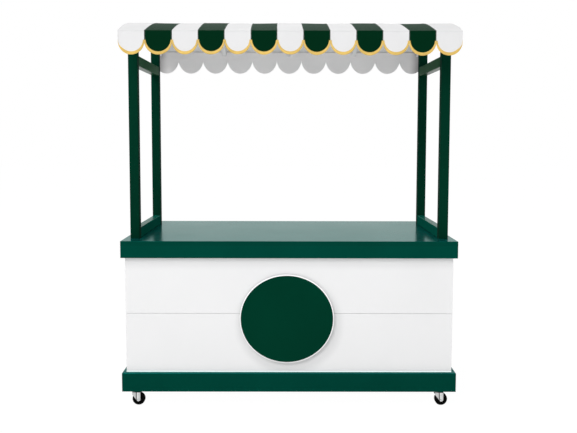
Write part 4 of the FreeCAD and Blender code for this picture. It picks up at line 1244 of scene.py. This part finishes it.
def metal_finish(name, base, rough, ribs=(), crown=0.0):
    """Plated metal: long fine scratches in the gloss, and slow clouds of the plating.

    Ribs are pairs of a distance from the left and the tone from there on, painted shade and
    highlight along the fork's pressed rib. The distance starts anew at each caster, 1 mm before
    its fork. Above the crown's height the metal is darkened by a painted shadow of the plinth,
    more so to the right.
    """
    tree, shader = blank_finish(name, Metallic=1.0)
    shade = mottled(tree, base, 0.12, 60.0)["Colour"]
    brushed = use(tree, "Brushed")["Value"]
    if ribs:
        where = axes_of(tree, in_object(tree))
        first, second = (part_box(f"fork_front_{side}")[0].x for side in SIDES)
        off = math_node(tree, "MODULO", math_node(tree, "ADD", where[0], 0.001 - first),
                        second - first)
        # dull is the colour of the plinth's painted shadow over the fork's top
        bend, dull = 0.0005, (0.01, 0.012, 0.012, 1.0)
        for start, tone in ribs:
            here = ramp(tree, off, start - bend, start + bend)
            shade = mix_colours(tree, here, shade, (tone, tone, tone, 1.0))
        aside = ramp(tree, off, 0.0, 0.02, 0.6)
        over = ramp(tree, where[2], crown - 2 * bend, crown + 2 * bend)
        shade = mix_colours(tree, times(tree, over, aside), shade, dull)
    dress(tree, shader, shade, (brushed, rough * 0.8, rough * 1.3), (brushed, 0.25, 0.00004))


def wood_finish(name, base):
    """Planed softwood with its rings and fibres."""
    tree, shader = blank_finish(name, Specular_IOR_Level=0.3)
    rings = use(tree, "Wood", Early=deeper(base), Late=deeper(base, 0.45))
    dress(tree, shader, rings["Colour"], (rings["Height"], 0.5, 0.7),
          (rings["Height"], 0.3, 0.0001))


class BOOTH_OT_finishes(bpy.types.Operator):
    """Makes the shader groups and the materials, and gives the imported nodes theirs"""

    bl_idname = "booth.finishes"
    bl_label = "Finishes"

    def execute(self, context):
        looks = context.scene.booth_finish
        canopy = context.scene.booth_canopy
        for group in (mottle_group, grain_group, weave_group, stripe_group, stitch_group,
                      brush_group, wood_group, painted_shade_group):
            tree = group()
            EFFECTS[tree.name] = tree
        # Plain paints: colour, roughness, reflection and what differs from other paints
        for name, base, rough, level, more in (
                ("edge_green", looks.edge_green, 0.35, 0.06, {}),
                ("sign_green", looks.sign_green, 0.45, 0.06,
                 {"grain": 700.0, "relief": 0.00003}),
                ("carcass_board", looks.carcass, 0.5, 0.3, {"grain": 700.0, "dark": 0.03}),
                ("frame_white", looks.lining, 0.45, 0.3, {"grain": 900.0, "dark": 0.03}),
                ("plug_plastic", looks.plug, 0.6, 0.4, {"grain": 900.0}),
                ("wheel_black", looks.rubber, 0.6, 0.04, {"grain": 1200.0, "dark": 0.3})):
            paint(name, base, rough, level, **more)
        # both the worktop's and the plinth's tops get the lighter green as painted light
        laminate("worktop_green", looks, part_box("worktop")[1].z, 0.0016)
        laminate("plinth_green", looks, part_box("plinth_front")[1].z, 0.005)
        powder_coat("post_green", looks.post_green, 0.004)
        # the rails' lighter greens are painted light on the posts' coat
        powder_coat("upper_green", looks.upper_green, 0.02)
        powder_coat("lower_green", looks.lower_green, 0.0)
        board_finish_with_painted_shade("white_board", looks)
        # the bead's glow is a painted highlight
        with_painted_glow("bead_white", looks.bead_white, looks.bead_painted_glow)
        rim_finish_with_painted_highlight("sign_white", looks)
        wood_finish("batten_wood", looks.pine)
        metal_finish("zinc", looks.zinc, 0.32)
        # tones of painted shade and highlight along the fork's rib, and the height of the plinth's
        # painted shadow
        metal_finish("fork_zinc", looks.zinc, 0.32, ((0.0, 0.56), (0.017, 0.44), (0.0225, 0.16),
                                                     (0.028, 0.82), (0.034, 0.6)), 0.0722)
        metal_finish("plate_zinc", looks.zinc_in_painted_shade, 0.4)
        cloth_finish("striped_cloth", looks.cloth_white, canopy, other=looks.cloth_green)
        # the lining's paler colour is painted light on the canopy's shaded inside
        cloth_finish("lining", looks.lining, canopy)
        cloth_finish("end_lining", looks.lining, canopy, ends=looks.end_painted_shade)
        tape_finish("gold_tape", looks.gold)
        for item in frame["nodes"].values():
            slot = item.material_slots[0]
            slot.material = FINISHES.get(slot.material.name.split(".")[0], slot.material)
        return {"FINISHED"}


# Stage
def set_up(name, data, right, up, back, where):
    """A stage object at a place, turned so that its own axes point right, up and back."""
    item = bpy.data.objects.new(name, data)
    bpy.context.scene.collection.objects.link(item)
    axes = np.eye(4)
    axes[:3] = np.column_stack((right, up, back, where))
    item.matrix_world = Matrix(axes.tolist())
    return item


def seen_mask(tree):
    """1 for what the eye sees, straight, in gloss or through glass, and 0 for other light."""
    path = node(tree, "LightPath")
    mirrored = math_node(tree, "MAXIMUM", path["Is Glossy Ray"], path["Is Transmission Ray"])
    return math_node(tree, "MAXIMUM", path["Is Camera Ray"], mirrored)


class BOOTH_OT_stage(bpy.types.Operator):
    """Sets the camera, the lamps, the pale surroundings and the floor"""

    bl_idname = "booth.stage"
    bl_label = "Stage"

    def execute(self, context):
        studio = context.scene.booth_studio
        self.camera(context.scene, studio)
        self.surroundings(context.scene, studio)
        self.floor(studio)
        for name in ("key", "fill", "crown"):
            self.lamp(name, studio)
        context.scene.view_settings.view_transform = "Standard"
        return {"FINISHED"}

    def camera(self, scene, studio):
        """The view of the booth from its front.

        It looks down by the pitch and right by the yaw, and is tipped by the roll.
        """
        data = bpy.data.cameras.new("camera")
        data.sensor_fit = "HORIZONTAL"
        data.sensor_width = 36.0
        data.lens = studio.lens
        data.shift_y = studio.shift
        data.clip_end = 100.0
        down, aside, tip = studio.pitch, studio.yaw, studio.roll
        ahead = np.array([math.sin(aside) * math.cos(down), math.cos(aside) * math.cos(down),
                          -math.sin(down)])
        level = np.cross(ahead, (0.0, 0.0, 1.0))
        level = level / np.linalg.norm(level)
        upright = np.cross(level, ahead)
        right = level * math.cos(tip) + upright * math.sin(tip)
        up = upright * math.cos(tip) - level * math.sin(tip)
        scene.camera = set_up("camera", data, right, up, -ahead, studio.eye)

    def surroundings(self, scene, studio):
        """White to the eye and in gloss, and a softer level for what it lights."""
        world = bpy.data.worlds.new("surroundings")
        world.use_nodes = True
        tree = world.node_tree
        background = tree.nodes["Background"]
        background.inputs["Color"].default_value = (1.0, 1.0, 1.0, 1.0)
        feed(tree, background.inputs["Strength"],
             ramp(tree, seen_mask(tree), 0.0, 1.0, studio.dome, 1.0))
        scene.world = world

    def floor(self, studio):
        """A wide pale floor: white to the eye but for a share of its own shading."""
        line = np.linspace(-studio.floor_reach, studio.floor_reach, 3)
        pale = studio.floor_white
        tree, shader = blank_finish("pale_floor", Base_Color=(pale, pale, pale, 1.0),
                                    Roughness=0.9, Specular_IOR_Level=0.0)
        own = studio.shadow * studio.dome * pale * 0.98
        glow = node(tree, "Emission", Strength=(1.0 - own) / (1.0 - studio.shadow))
        mixed = node(tree, "MixShader", _0=times(tree, seen_mask(tree), 1.0 - studio.shadow),
                     _1=shader.outputs[0], _2=glow[0])
        feed(tree, tree.nodes["Material Output"].inputs["Surface"], mixed[0])
        surface("floor", [stacked(line, line[:, None], 0.0)], ["pale_floor"])

    def lamp(self, name, studio):
        """A square lamp aimed at the middle of the booth."""
        data = bpy.data.lights.new(name, "AREA")
        data.energy = getattr(studio, name)
        data.size = getattr(studio, f"{name}_size")
        where = np.array(getattr(studio, f"{name}_place"))
        back = where - np.array(studio.aim)
        back = back / np.linalg.norm(back)
        right = np.cross((0.0, 0.0, 1.0), back)
        right = right / np.linalg.norm(right)
        set_up(name, data, right, np.cross(back, right), back, where)


class BOOTH_PT_panel(bpy.types.Panel):
    """Lists the steps that build the booth, and its sizes and colours"""

    bl_idname = "BOOTH_PT_panel"
    bl_label = "Bakery booth"
    bl_space_type = "VIEW_3D"
    bl_region_type = "UI"
    bl_category = "Booth"

    def draw(self, context):
        for step in STEPS:
            self.layout.operator(step.bl_idname)
        for name, kind in GROUPS.items():
            part = self.layout.box()
            for field in kind.__annotations__:
                part.prop(getattr(context.scene, name), field)


STEPS = (BOOTH_OT_stage, BOOTH_OT_finishes, BOOTH_OT_roof, BOOTH_OT_front_valance,
         BOOTH_OT_rear_valance, BOOTH_OT_pocket, BOOTH_OT_frames, BOOTH_OT_sign,
         BOOTH_OT_counter, BOOTH_OT_casters)
GROUPS = {"booth_canopy": BoothCanopy, "booth_build": BoothBuild,
          "booth_finish": BoothFinish, "booth_studio": BoothStudio}


def register():
    for kind in (*GROUPS.values(), *STEPS, BOOTH_PT_panel):
        bpy.utils.register_class(kind)
    for name, kind in GROUPS.items():
        setattr(bpy.types.Scene, name, PointerProperty(type=kind))


def unregister():
    for name in GROUPS:
        delattr(bpy.types.Scene, name)
    for kind in reversed((*GROUPS.values(), *STEPS, BOOTH_PT_panel)):
        bpy.utils.unregister_class(kind)


def main():
    register()
    for step in STEPS:
        family, name = step.bl_idname.split(".")
        getattr(getattr(bpy.ops, family), name)()


if __name__ == "__main__":
    main()
